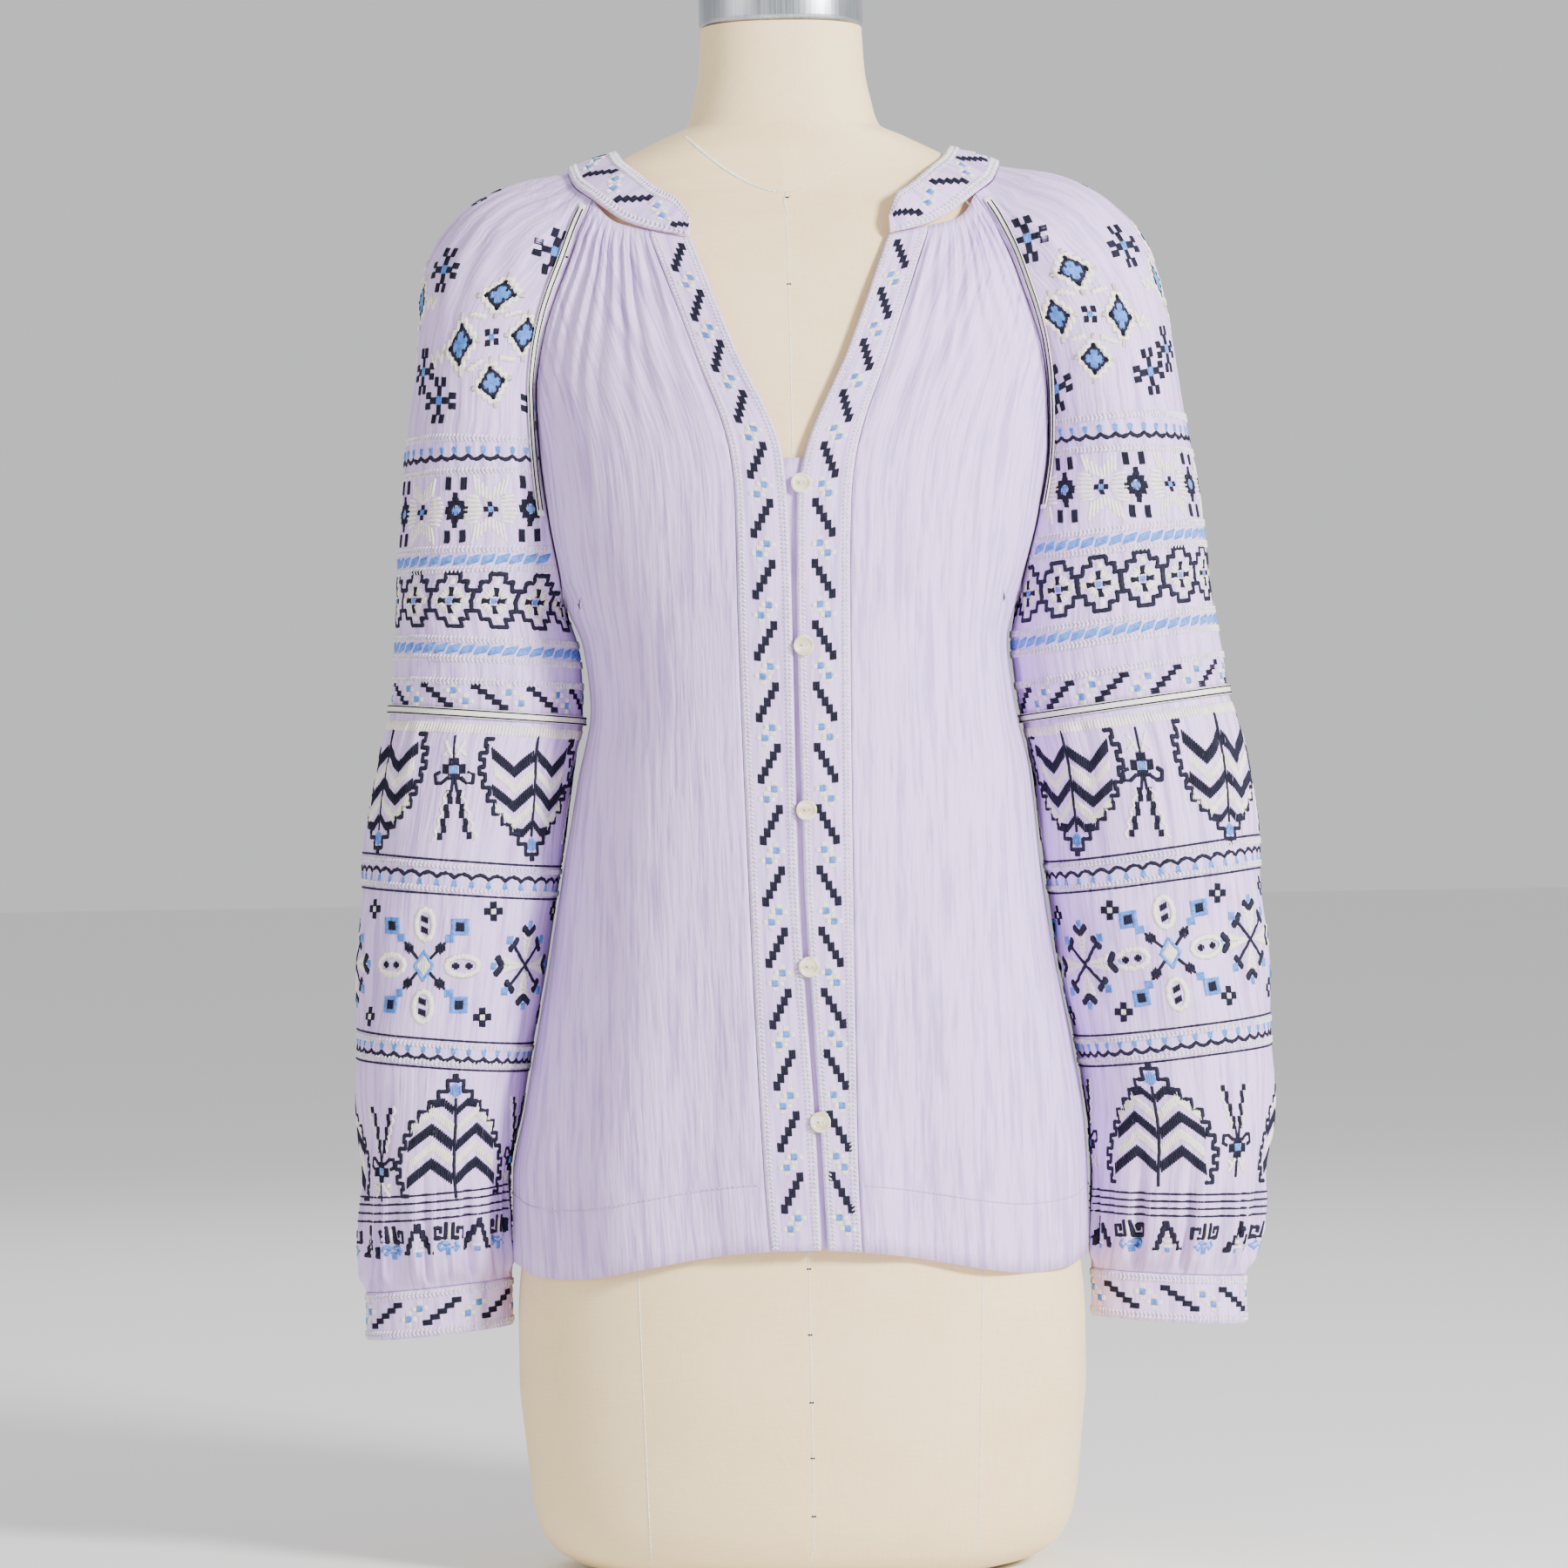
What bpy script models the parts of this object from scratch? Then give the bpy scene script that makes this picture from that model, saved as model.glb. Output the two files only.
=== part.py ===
"""An embroidered folk blouse worn on a limbless dress form.

Metres, +Z up. The blouse's front faces -Y and the viewer's right is +X. The form's flat
underside is at z = 0. The tables are measured from the form's own axis; the finished
objects are moved by FRAME_SHIFT, which puts the origin under the middle of the whole.
"""

import math

import bmesh
import bpy
import numpy as np

# Driving dimensions

FRAME_SHIFT = (-0.0096, -0.0010, 0.0)
CLOTH_WALL = 0.0014
BAND_WALL = 0.0018
TRIM_WALL = 0.0009
ELBOW_TAPE_LIFT = 0.0019
RAGLAN_TAPE_LIFT = 0.0021
NECK_BLEND = 0.050
NECK_GAP_PLACE = 0.002
RIGHT_BAND_END_SHIFT = 0.0060
SEAM_GAP = 0.0004
TORSO_POWER = 2.3
BLOUSE_POWER = 2.2
ARMPIT_HEIGHT = 0.5725
HEM_MIDDLE = 0.1960
HEM_LOWEST = 0.1775
HEM_SIDE = 0.1840
HEM_LOWEST_ANGLE = 0.95
CUFF_DEPTH = 0.0285
ELBOW_TAPE_WIDTH = 0.0052
RAGLAN_TAPE_WIDTH = 0.0042
RAGLAN_TAPE_INSET = 0.0034
RAGLAN_TAPE_END = 0.615
UNDERLAP_TOP = 0.6535
UNDERLAP_SIDES = (-0.0200, 0.0240)
CAP_HEIGHT = 0.0400
CAP_GAP = 0.0003
BUTTON_RADIUS = 0.0060
BUTTON_THICKNESS = 0.0024
BUTTON_X = 0.0072
BUTTON_HEIGHTS = (0.6382, 0.5447, 0.4498, 0.3594, 0.2699)
LOWEST_BUTTON_SHIFT = 0.0050
FRONT_GATHERS = 8
BACK_GATHERS = 8
HEAD_GATHERS = 12
LOWER_GATHERS = 12
HALF_TURN = math.pi

# Depths of the folds.
FRONT_GATHER_DEPTH = 0.0034
BACK_GATHER_DEPTH = 0.0030
HEAD_GATHER_DEPTH = 0.0032
LONG_FOLD_DEPTH = 0.0018
ELBOW_GATHER_DEPTH = 0.0020
WRIST_GATHER_DEPTH = 0.0046
SOFT_FOLD_DEPTH = 0.0012

# How far up its height each row of a body panel lies: close at the waist and the neck.
PANEL_LEVELS = (0.0, 0.09, 0.18, 0.27, 0.35, 0.42, 0.475, 0.53, 0.58, 0.63)
PANEL_LEVELS += (0.70, 0.78, 0.86, 0.92, 0.965, 1.0)

LEFT = -1
RIGHT = 1
SIDE_NAMES = {LEFT: "left", RIGHT: "right"}


class Table:
    """A short table with named columns, read between its rows by a monotone cubic."""

    def __init__(self, columns, rows):
        order = sorted(rows)
        self.keys = np.array([row[0] for row in order])
        self.columns = {
            name: np.array([row[i] for row in order]) for i, name in enumerate(columns)
        }

    def at(self, name, key):
        """The value of one column where the first column is key."""
        x, y = self.keys, self.columns[name]
        step = np.diff(x)
        rise = np.diff(y) / step
        slope = np.zeros_like(y)
        same_way = rise[1:] * rise[:-1] > 0
        near, far = 2 * step[1:] + step[:-1], step[1:] + 2 * step[:-1]
        inner = (near + far)[same_way] / (
            near[same_way] / rise[:-1][same_way] + far[same_way] / rise[1:][same_way]
        )
        slope[1:-1][same_way] = inner
        slope[0], slope[-1] = rise[0], rise[-1]
        key = min(max(key, x[0]), x[-1])
        i = int(min(max(np.searchsorted(x, key) - 1, 0), len(x) - 2))
        t = (key - x[i]) / step[i]
        return float(
            y[i] * (1 + 2 * t) * (1 - t) ** 2
            + y[i + 1] * t * t * (3 - 2 * t)
            + step[i] * (slope[i] * t * (1 - t) ** 2 + slope[i + 1] * t * t * (t - 1))
        )


FORM = Table(
    ("height", "half_width", "half_depth", "centre_y"),
    (
        (0.0000, 0.1180, 0.0780, 0.000),
        (0.0060, 0.1380, 0.0950, 0.000),
        (0.0160, 0.1520, 0.1060, 0.000),
        (0.0350, 0.1605, 0.1130, 0.000),
        (0.0750, 0.1655, 0.1165, 0.001),
        (0.1150, 0.1690, 0.1180, 0.002),
        (0.1500, 0.1690, 0.1180, 0.003),
        (0.1840, 0.1665, 0.1170, 0.003),
        (0.2300, 0.1600, 0.1130, 0.003),
        (0.3100, 0.1430, 0.1020, 0.000),
        (0.3800, 0.1260, 0.0940, -0.002),
        (0.4550, 0.1150, 0.0860, -0.004),
        (0.5300, 0.1165, 0.0940, -0.006),
        (0.6000, 0.1330, 0.1080, -0.010),
        (0.6600, 0.1440, 0.1040, -0.004),
        (0.7200, 0.1535, 0.0920, 0.004),
        (0.7650, 0.1620, 0.0790, 0.007),
        (0.7950, 0.1640, 0.0645, 0.008),
        (0.8060, 0.1585, 0.0575, 0.008),
        (0.8140, 0.1490, 0.0525, 0.008),
        (0.8220, 0.1340, 0.0485, 0.007),
        (0.8300, 0.1160, 0.0460, 0.006),
        (0.8400, 0.0945, 0.0455, 0.005),
        (0.8500, 0.0730, 0.0470, 0.003),
        (0.8570, 0.0580, 0.0480, 0.002),
        (0.8720, 0.0530, 0.0470, 0.000),
        (0.8900, 0.0495, 0.0460, -0.001),
        (0.9150, 0.0480, 0.0455, -0.002),
    ),
)

# The blouse body's outer face: how far it stands out to each side, in front and behind.
BODY = Table(
    ("height", "left", "right", "front", "back"),
    (
        (0.1750, 0.1715, 0.1705, 0.1255, 0.1285),
        (0.2020, 0.1715, 0.1720, 0.1250, 0.1275),
        (0.2350, 0.1710, 0.1716, 0.1240, 0.1260),
        (0.2700, 0.1640, 0.1695, 0.1230, 0.1235),
        (0.3100, 0.1565, 0.1634, 0.1220, 0.1210),
        (0.3640, 0.1464, 0.1534, 0.1215, 0.1180),
        (0.4200, 0.1370, 0.1460, 0.1210, 0.1150),
        (0.4700, 0.1280, 0.1415, 0.1210, 0.1125),
        (0.5120, 0.1200, 0.1325, 0.1220, 0.1105),
        (0.5480, 0.1238, 0.1288, 0.1235, 0.1095),
        (0.5725, 0.1335, 0.1350, 0.1240, 0.1090),
        (0.6200, 0.1470, 0.1500, 0.1225, 0.1090),
        (0.6600, 0.1530, 0.1580, 0.1145, 0.1085),
        (0.7200, 0.1600, 0.1630, 0.0955, 0.1035),
        (0.7650, 0.1640, 0.1660, 0.0795, 0.0950),
        (0.7950, 0.1660, 0.1670, 0.0630, 0.0840),
        (0.8060, 0.1650, 0.1660, 0.0570, 0.0780),
        (0.8300, 0.1600, 0.1610, 0.0500, 0.0680),
    ),
)

# A sleeve's rings: the seam beside the body, the outermost point, and the depths between.
SLEEVE_COLUMNS = ("seam_height", "seam_x", "outer_height", "outer_x", "front", "back")
SLEEVES = {
    LEFT: Table(
        SLEEVE_COLUMNS,
        (
            (0.8110, 0.1130, 0.8340, 0.1285, 0.0460, 0.0480),
            (0.7920, 0.1205, 0.8275, 0.1560, 0.0520, 0.0560),
            (0.7710, 0.1280, 0.8150, 0.1820, 0.0560, 0.0610),
            (0.7540, 0.1350, 0.8010, 0.1985, 0.0570, 0.0630),
            (0.7380, 0.1405, 0.7830, 0.2110, 0.0570, 0.0630),
            (0.7200, 0.1448, 0.7600, 0.2175, 0.0565, 0.0620),
            (0.6970, 0.1480, 0.7250, 0.2200, 0.0560, 0.0600),
            (0.6610, 0.1464, 0.6780, 0.2270, 0.0550, 0.0570),
            (0.6235, 0.1418, 0.6320, 0.2315, 0.0540, 0.0550),
            (0.5910, 0.1362, 0.5950, 0.2340, 0.0530, 0.0540),
            (0.5725, 0.1337, 0.5760, 0.2350, 0.0520, 0.0530),
            (0.5480, 0.1264, 0.5540, 0.2362, 0.0520, 0.0520),
            (0.5250, 0.1244, 0.5330, 0.2378, 0.0515, 0.0515),
            (0.5042, 0.1244, 0.5137, 0.2392, 0.0510, 0.0510),
            (0.4860, 0.1288, 0.4920, 0.2445, 0.0545, 0.0530),
            (0.4600, 0.1330, 0.4640, 0.2504, 0.0560, 0.0540),
            (0.4130, 0.1396, 0.4140, 0.2586, 0.0565, 0.0540),
            (0.3570, 0.1490, 0.3560, 0.2614, 0.0560, 0.0535),
            (0.3050, 0.1587, 0.3020, 0.2640, 0.0550, 0.0525),
            (0.2720, 0.1650, 0.2680, 0.2625, 0.0540, 0.0510),
            (0.2340, 0.1724, 0.2280, 0.2610, 0.0510, 0.0480),
            (0.2000, 0.1732, 0.1930, 0.2615, 0.0440, 0.0420),
            (0.1850, 0.1726, 0.1770, 0.2612, 0.0370, 0.0360),
            (0.1740, 0.1722, 0.1660, 0.2600, 0.0290, 0.0290),
        ),
    ),
    RIGHT: Table(
        SLEEVE_COLUMNS,
        (
            (0.8110, 0.1130, 0.8340, 0.1285, 0.0460, 0.0480),
            (0.7920, 0.1240, 0.8285, 0.1560, 0.0520, 0.0560),
            (0.7710, 0.1340, 0.8180, 0.1800, 0.0560, 0.0610),
            (0.7540, 0.1400, 0.8050, 0.1980, 0.0580, 0.0630),
            (0.7380, 0.1455, 0.7850, 0.2145, 0.0590, 0.0630),
            (0.7200, 0.1505, 0.7580, 0.2240, 0.0590, 0.0620),
            (0.6970, 0.1536, 0.7260, 0.2305, 0.0585, 0.0610),
            (0.6640, 0.1543, 0.6820, 0.2370, 0.0580, 0.0590),
            (0.6245, 0.1480, 0.6360, 0.2450, 0.0570, 0.0575),
            (0.5910, 0.1398, 0.5990, 0.2490, 0.0560, 0.0565),
            (0.5725, 0.1352, 0.5800, 0.2505, 0.0555, 0.0560),
            (0.5480, 0.1309, 0.5560, 0.2545, 0.0550, 0.0555),
            (0.5250, 0.1327, 0.5370, 0.2580, 0.0550, 0.0550),
            (0.5015, 0.1368, 0.5175, 0.2600, 0.0550, 0.0550),
            (0.4860, 0.1400, 0.4970, 0.2660, 0.0580, 0.0570),
            (0.4700, 0.1430, 0.4740, 0.2715, 0.0600, 0.0580),
            (0.4260, 0.1475, 0.4260, 0.2772, 0.0600, 0.0580),
            (0.3650, 0.1550, 0.3640, 0.2810, 0.0595, 0.0570),
            (0.3080, 0.1652, 0.3060, 0.2836, 0.0580, 0.0550),
            (0.2600, 0.1722, 0.2580, 0.2830, 0.0560, 0.0530),
            (0.2330, 0.1732, 0.2300, 0.2780, 0.0520, 0.0490),
            (0.2020, 0.1736, 0.1980, 0.2740, 0.0450, 0.0430),
            (0.1860, 0.1732, 0.1800, 0.2690, 0.0370, 0.0360),
            (0.1740, 0.1728, 0.1680, 0.2655, 0.0290, 0.0290),
        ),
    ),
}
ELBOW_HEIGHT = {LEFT: 0.5042, RIGHT: 0.5015}
WRIST_HEIGHT = 0.1740
SLEEVE_CENTRE_Y = 0.0020

# The embroidered strips' edges from the hem to the neck.
PLACKETS = {
    LEFT: Table(
        ("height", "outer", "inner"),
        (
            (0.1700, -0.0160, 0.0125),
            (0.2600, -0.0215, 0.0095),
            (0.4200, -0.0270, 0.0015),
            (0.5700, -0.0305, 0.0006),
            (0.6290, -0.0310, -0.0010),
            (0.6535, -0.0330, -0.0030),
            (0.7200, -0.0545, -0.0300),
            (0.7880, -0.0790, -0.0555),
        ),
    ),
    RIGHT: Table(
        ("height", "outer", "inner"),
        (
            (0.1700, 0.0360, 0.0165),
            (0.2600, 0.0335, 0.0125),
            (0.4200, 0.0335, 0.0050),
            (0.5700, 0.0345, 0.0036),
            (0.6290, 0.0360, 0.0045),
            (0.6535, 0.0390, 0.0090),
            (0.7200, 0.0610, 0.0370),
            (0.7880, 0.0840, 0.0615),
        ),
    ),
}

# The neck band's edges on one half, from its front end round to the centre back.
BAND = Table(
    ("place", "outer_x", "outer_y", "outer_z", "inner_x", "inner_y", "inner_z"),
    (
        (0.00, 0.0555, -0.0625, 0.7865, 0.0545, -0.0605, 0.7970),
        (0.10, 0.0790, -0.0585, 0.7915, 0.0630, -0.0545, 0.8105),
        (0.18, 0.0930, -0.0540, 0.7965, 0.0720, -0.0500, 0.8150),
        (0.28, 0.1130, -0.0430, 0.8110, 0.0850, -0.0370, 0.8260),
        (0.38, 0.1240, -0.0240, 0.8210, 0.0945, -0.0200, 0.8350),
        (0.48, 0.1285, 0.0030, 0.8320, 0.0982, 0.0010, 0.8415),
        (0.58, 0.1240, 0.0320, 0.8240, 0.0940, 0.0240, 0.8390),
        (0.68, 0.1130, 0.0560, 0.8110, 0.0835, 0.0430, 0.8320),
        (0.80, 0.0820, 0.0680, 0.8080, 0.0640, 0.0550, 0.8280),
        (0.90, 0.0420, 0.0740, 0.8065, 0.0340, 0.0605, 0.8265),
        (1.00, 0.0000, 0.0755, 0.8060, 0.0000, 0.0620, 0.8260),
    ),
)
RAGLAN_FRONT_PLACE = 0.28
RAGLAN_BACK_PLACE = 0.68
STRIP_TOP_PLACE = 0.10


# Sections of the form and the blouse


def power_sign(value, power):
    return math.copysign(abs(value) ** power, value)


def form_point(height, turn):
    """A point of the form's skin; turn 0 is the front, a quarter turn is +X."""
    power = 2 / TORSO_POWER
    x = FORM.at("half_width", height) * power_sign(math.sin(turn), power)
    y = -FORM.at("half_depth", height) * power_sign(math.cos(turn), power)
    return np.array((x, y + FORM.at("centre_y", height), height))


def body_point(side, height, turn, out=0.0):
    """A point of the blouse body's outer face, moved out by out along its normal."""
    power = 2 / BLOUSE_POWER
    width = BODY.at(SIDE_NAMES[side], height)
    depth = BODY.at("front" if turn <= HALF_TURN / 2 else "back", height)
    x = width * abs(math.sin(turn)) ** power
    y = -depth * power_sign(math.cos(turn), power)
    normal = np.array(
        (
            (x / width) ** (BLOUSE_POWER - 1) / width,
            power_sign(y / depth, BLOUSE_POWER - 1) / depth,
        )
    )
    normal /= np.linalg.norm(normal)
    return np.array((side * (x + out * normal[0]), y + out * normal[1], height))


def turn_at(side, height, x):
    """The turn at which the blouse body's section has this distance from its middle."""
    share = min(max(side * x / BODY.at(SIDE_NAMES[side], height), 0.0), 1.0)
    return math.asin(share ** (BLOUSE_POWER / 2))


def front_point(height, x, out=0.0):
    """A point of the blouse front at a given x, on either side of the middle."""
    side = RIGHT if x >= 0 else LEFT
    return body_point(side, height, turn_at(side, height, x), out)


def band_point(side, place, edge):
    """A point of the neck band's outer or inner edge; the right end lies further out."""
    shift = RIGHT_BAND_END_SHIFT * (1 - fade(place, 0.0, 0.2)) if side == RIGHT else 0.0
    return np.array(
        (
            side * BAND.at(edge + "_x", place) + shift,
            BAND.at(edge + "_y", place),
            BAND.at(edge + "_z", place),
        )
    )


def hem_height(turn):
    """The hem is highest at the centre front, lowest before the side seams."""
    near = min(turn / HEM_LOWEST_ANGLE, 1.0)
    rise = 0.5 + 0.5 * math.cos(HALF_TURN * near)
    side_rise = 0.0
    if turn > HEM_LOWEST_ANGLE:
        far = min((turn - HEM_LOWEST_ANGLE) / (HALF_TURN / 2 - HEM_LOWEST_ANGLE), 1.0)
        side_rise = 0.5 - 0.5 * math.cos(HALF_TURN * far)
    return (
        HEM_LOWEST
        + (HEM_MIDDLE - HEM_LOWEST) * rise
        + (HEM_SIDE - HEM_LOWEST) * side_rise
    )


def raglan_x(side, height):
    return SLEEVES[side].at("seam_x", height)


# Folds, as heights in metres over a panel's plain face


def fade(value, low, high):
    """Smooth step from 0 at low to 1 at high."""
    t = min(max((value - low) / (high - low), 0.0), 1.0)
    return t * t * (3 - 2 * t)


def neck_gathers(across, from_top, count, depth):
    """Folds that open out below the neck band and die away over the bust."""
    open_out = fade(from_top, 0.0, 0.020) * (1 - fade(from_top, 0.045, 0.165))
    return depth * open_out * (0.5 - 0.5 * math.cos(2 * HALF_TURN * count * across))


def long_folds(across, height, count, depth, shift):
    """Soft folds that hang to the hem."""
    low = 1 - fade(height, 0.22, 0.52)
    wave = 0.5 - 0.5 * math.cos(2 * HALF_TURN * (count * across + shift))
    edges = fade(across, 0.0, 0.15) * (1 - fade(across, 0.75, 0.95))
    return -depth * low * wave * edges


# Meshes


def material(name, colour, roughness, metallic=0.0):
    made = bpy.data.materials.new(name)
    made.use_nodes = True
    shader = made.node_tree.nodes["Principled BSDF"]
    shader.inputs["Base Color"].default_value = (*colour, 1.0)
    shader.inputs["Roughness"].default_value = roughness
    shader.inputs["Metallic"].default_value = metallic
    made.diffuse_color = (*colour, 1.0)
    return made


def grid_mesh(name, rows, closed=False):
    """An open sheet through rows of points, or a tube where each row is a ring."""
    model = bmesh.new()
    points = [[model.verts.new(tuple(p)) for p in row] for row in rows]
    across = len(points[0])
    for low, high in zip(points[:-1], points[1:]):
        for i in range(across if closed else across - 1):
            j = (i + 1) % across
            model.faces.new((low[i], low[j], high[j], high[i]))
    mesh = bpy.data.meshes.new(name)
    model.to_mesh(mesh)
    model.free()
    mesh.shade_smooth()
    return mesh


def place_object(name, mesh, finish, collection):
    made = bpy.data.objects.new(name, mesh)
    mesh.materials.append(finish)
    collection.objects.link(made)
    return made


def wall_object(name, rows, wall, finish, collection, closed=False):
    """A sheet whose given face is its outer one, thickened inwards."""
    made = place_object(name, grid_mesh(name, rows, closed), finish, collection)
    solidify = made.modifiers.new("wall", "SOLIDIFY")
    solidify.thickness = wall
    solidify.offset = -1.0
    return made


def closed_loft(name, rows, finish, collection):
    """A solid through rings, closed by a flat face at each end."""
    model = bmesh.new()
    rings = [[model.verts.new(tuple(p)) for p in row] for row in rows]
    for low, high in zip(rings[:-1], rings[1:]):
        for i, start in enumerate(low):
            j = (i + 1) % len(low)
            model.faces.new((start, low[j], high[j], high[i]))
    model.faces.new(list(reversed(rings[0])))
    model.faces.new(rings[-1])
    mesh = bpy.data.meshes.new(name)
    model.to_mesh(mesh)
    model.free()
    mesh.shade_smooth()
    mesh.set_sharp_from_angle(angle=math.radians(50))
    return place_object(name, mesh, finish, collection)


# The dress form


def build_form(finish, collection):
    heights = (
        [0.0, 0.006, 0.016, 0.035, 0.075, 0.12, 0.17, 0.23, 0.30, 0.38, 0.455]
        + [0.53, 0.575, 0.62, 0.67, 0.72, 0.765, 0.795, 0.810, 0.822, 0.835]
        + [0.847, 0.857, 0.875, 0.915]
    )
    turns = np.linspace(0, 2 * HALF_TURN, 27)[:-1]
    rows = [[form_point(z, t) for t in turns] for z in heights]
    closed_loft("dress_form", rows, finish, collection)


def build_cap(finish, collection):
    """The metal cap on the neck, with a softly rounded rim."""
    base = FORM.keys[-1] + CAP_GAP
    profile = ((1.00, 0.0), (1.03, 0.03), (1.03, 0.85), (0.98, 0.97), (0.90, 1.0))
    turns = np.linspace(0, 2 * HALF_TURN, 29)[:-1]
    middle = np.array((0.0, FORM.at("centre_y", base), 0.0))
    rows = []
    for share, level in profile:
        ring = [form_point(FORM.keys[-1], t) for t in turns]
        rows.append(
            [
                middle
                + (p - middle) * (share, share, 0.0)
                + (0.0, 0.0, base + CAP_HEIGHT * level)
                for p in ring
            ]
        )
    closed_loft("neck_cap", rows, finish, collection)


# The blouse's panels


def front_rows(side, columns):
    """The front panel, from the embroidered strip's outer edge to the raglan seam."""
    strip = PLACKETS[side]
    first, last = STRIP_TOP_PLACE + NECK_GAP_PLACE, RAGLAN_FRONT_PLACE - NECK_GAP_PLACE
    low_turn = turn_at(side, HEM_SIDE, strip.at("outer", HEM_SIDE))
    grid = []
    for level in PANEL_LEVELS:
        row = []
        for i in range(columns + 1):
            across = i / columns
            top = band_point(side, first + (last - first) * across, "outer")
            low = hem_height(low_turn + (HALF_TURN / 2 - low_turn) * across)
            height = low + (top[2] - low) * level
            inner = turn_at(side, height, strip.at("outer", height) + side * SEAM_GAP)
            if height > ARMPIT_HEIGHT:
                outer = turn_at(side, height, side * (raglan_x(side, height) - SEAM_GAP))
            else:
                outer = HALF_TURN / 2 - 0.003
            turn = inner + (outer - inner) * across
            from_top = top[2] - height
            fold = neck_gathers(across, from_top, FRONT_GATHERS, FRONT_GATHER_DEPTH)
            fold += long_folds(across, height, 2.5, LONG_FOLD_DEPTH, 0.2)
            edge = body_point(side, top[2], turn_at(side, top[2], top[0]))
            pull = (top - edge) * (1 - fade(from_top, 0.0, NECK_BLEND))
            row.append(body_point(side, height, turn, fold) + pull)
        grid.append(row)
    return grid if side == RIGHT else [row[::-1] for row in grid]


def back_rows(columns):
    """The back panel, from the right side seam across to the left one."""
    first = RAGLAN_BACK_PLACE + NECK_GAP_PLACE
    grid = []
    for level in PANEL_LEVELS:
        row = []
        for i in range(columns + 1):
            across = i / columns
            side = RIGHT if across < 0.5 else LEFT
            inward = 1 - abs(2 * across - 1)
            top = band_point(side, first + (1 - first) * inward, "outer")
            height = HEM_SIDE + (top[2] - HEM_SIDE) * level
            if height > ARMPIT_HEIGHT:
                seam = turn_at(side, height, side * (raglan_x(side, height) - SEAM_GAP))
                start = HALF_TURN - seam
            else:
                start = HALF_TURN / 2 + 0.003
            turn = start + (HALF_TURN - start) * inward
            from_top = top[2] - height
            fold = neck_gathers(across, from_top, BACK_GATHERS, BACK_GATHER_DEPTH)
            fold += long_folds(across, height, 4.0, LONG_FOLD_DEPTH, 0.1)
            edge_turn = HALF_TURN - turn_at(side, top[2], top[0])
            edge = body_point(side, top[2], edge_turn)
            pull = (top - edge) * (1 - fade(from_top, 0.0, NECK_BLEND))
            row.append(body_point(side, height, turn, fold) + pull)
        grid.append(row)
    return grid


# Sleeves


def seam_point(side, height, back):
    """Where a sleeve meets the body: on the raglan seams, or under the arm."""
    x = raglan_x(side, height)
    if height <= ARMPIT_HEIGHT:
        y = SLEEVE_CENTRE_Y + (SEAM_GAP if back else -SEAM_GAP)
        return np.array((side * (x + SEAM_GAP), y, height))
    turn = turn_at(side, height, side * x)
    point = body_point(side, height, HALF_TURN - turn if back else turn)
    return point + np.array((side * SEAM_GAP, 0.0, 0.0))


def sleeve_ring(side, height, places, out=None):
    """Points round a sleeve from its front seam (place 0) over the outside to its back
    seam (place 1). out gives how far each place is moved out."""
    table = SLEEVES[side]
    outer_x, outer_z = table.at("outer_x", height), table.at("outer_height", height)
    halves = []
    for back in (False, True):
        seam = seam_point(side, height, back)
        reach = abs(seam[1] - SLEEVE_CENTRE_Y)
        depth = max(table.at("back" if back else "front", height), reach * 1.01)
        inner_share = math.sqrt(1 - (reach / depth) ** 2)
        width = (outer_x - side * seam[0]) / (1 + inner_share)
        halves.append((seam, depth, width, HALF_TURN - math.asin(reach / depth)))
    points = []
    for place in places:
        back = bool(place > 0.5)
        seam, depth, width, spread = halves[back]
        share = abs(2 * place - 1)
        turn = spread * share
        x = outer_x - width + width * math.cos(turn)
        y = (1 if back else -1) * depth * math.sin(turn)
        normal = np.array((math.cos(turn) / width, y / depth**2))
        normal /= np.linalg.norm(normal)
        lift = out(place) if out else 0.0
        span = outer_x - side * seam[0]
        rise = (x - side * seam[0]) / span
        z = seam[2] + (outer_z - seam[2]) * rise
        x += lift * normal[0]
        y += lift * normal[1]
        points.append(np.array((side * x, y + SLEEVE_CENTRE_Y, z)))
    return points


def head_pull(side, places):
    """How far the top ring is moved so that it follows the neck band's edge."""
    ring = sleeve_ring(side, SLEEVES[side].keys[-1], places)
    first, last = RAGLAN_FRONT_PLACE + NECK_GAP_PLACE, RAGLAN_BACK_PLACE - NECK_GAP_PLACE
    edge = [band_point(side, first + (last - first) * p, "outer") for p in places]
    return [e - r for e, r in zip(edge, ring)]


def sleeve_rows(side, heights, places, out=None):
    top = SLEEVES[side].keys[-1]
    pulls = head_pull(side, places)
    grid = []
    for height in heights:
        share = 1 - fade(top - height, 0.0, NECK_BLEND)
        ring = sleeve_ring(side, height, places, (lambda p: out(p, height)) if out else None)
        grid.append([p + pull * share for p, pull in zip(ring, pulls)])
    return grid


def face_out(side, grid):
    """Puts a grid that runs from front to back the way round that faces outwards."""
    return grid if side == RIGHT else [row[::-1] for row in grid]


def upper_fold(side):
    top = SLEEVES[side].keys[-1]

    def lift(place, height):
        ends = fade(place, 0.07, 0.14) * (1 - fade(place, 0.86, 0.93))
        return ends * neck_gathers(
            place, (top - height) * 1.3, HEAD_GATHERS, HEAD_GATHER_DEPTH
        )

    return lift


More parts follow.
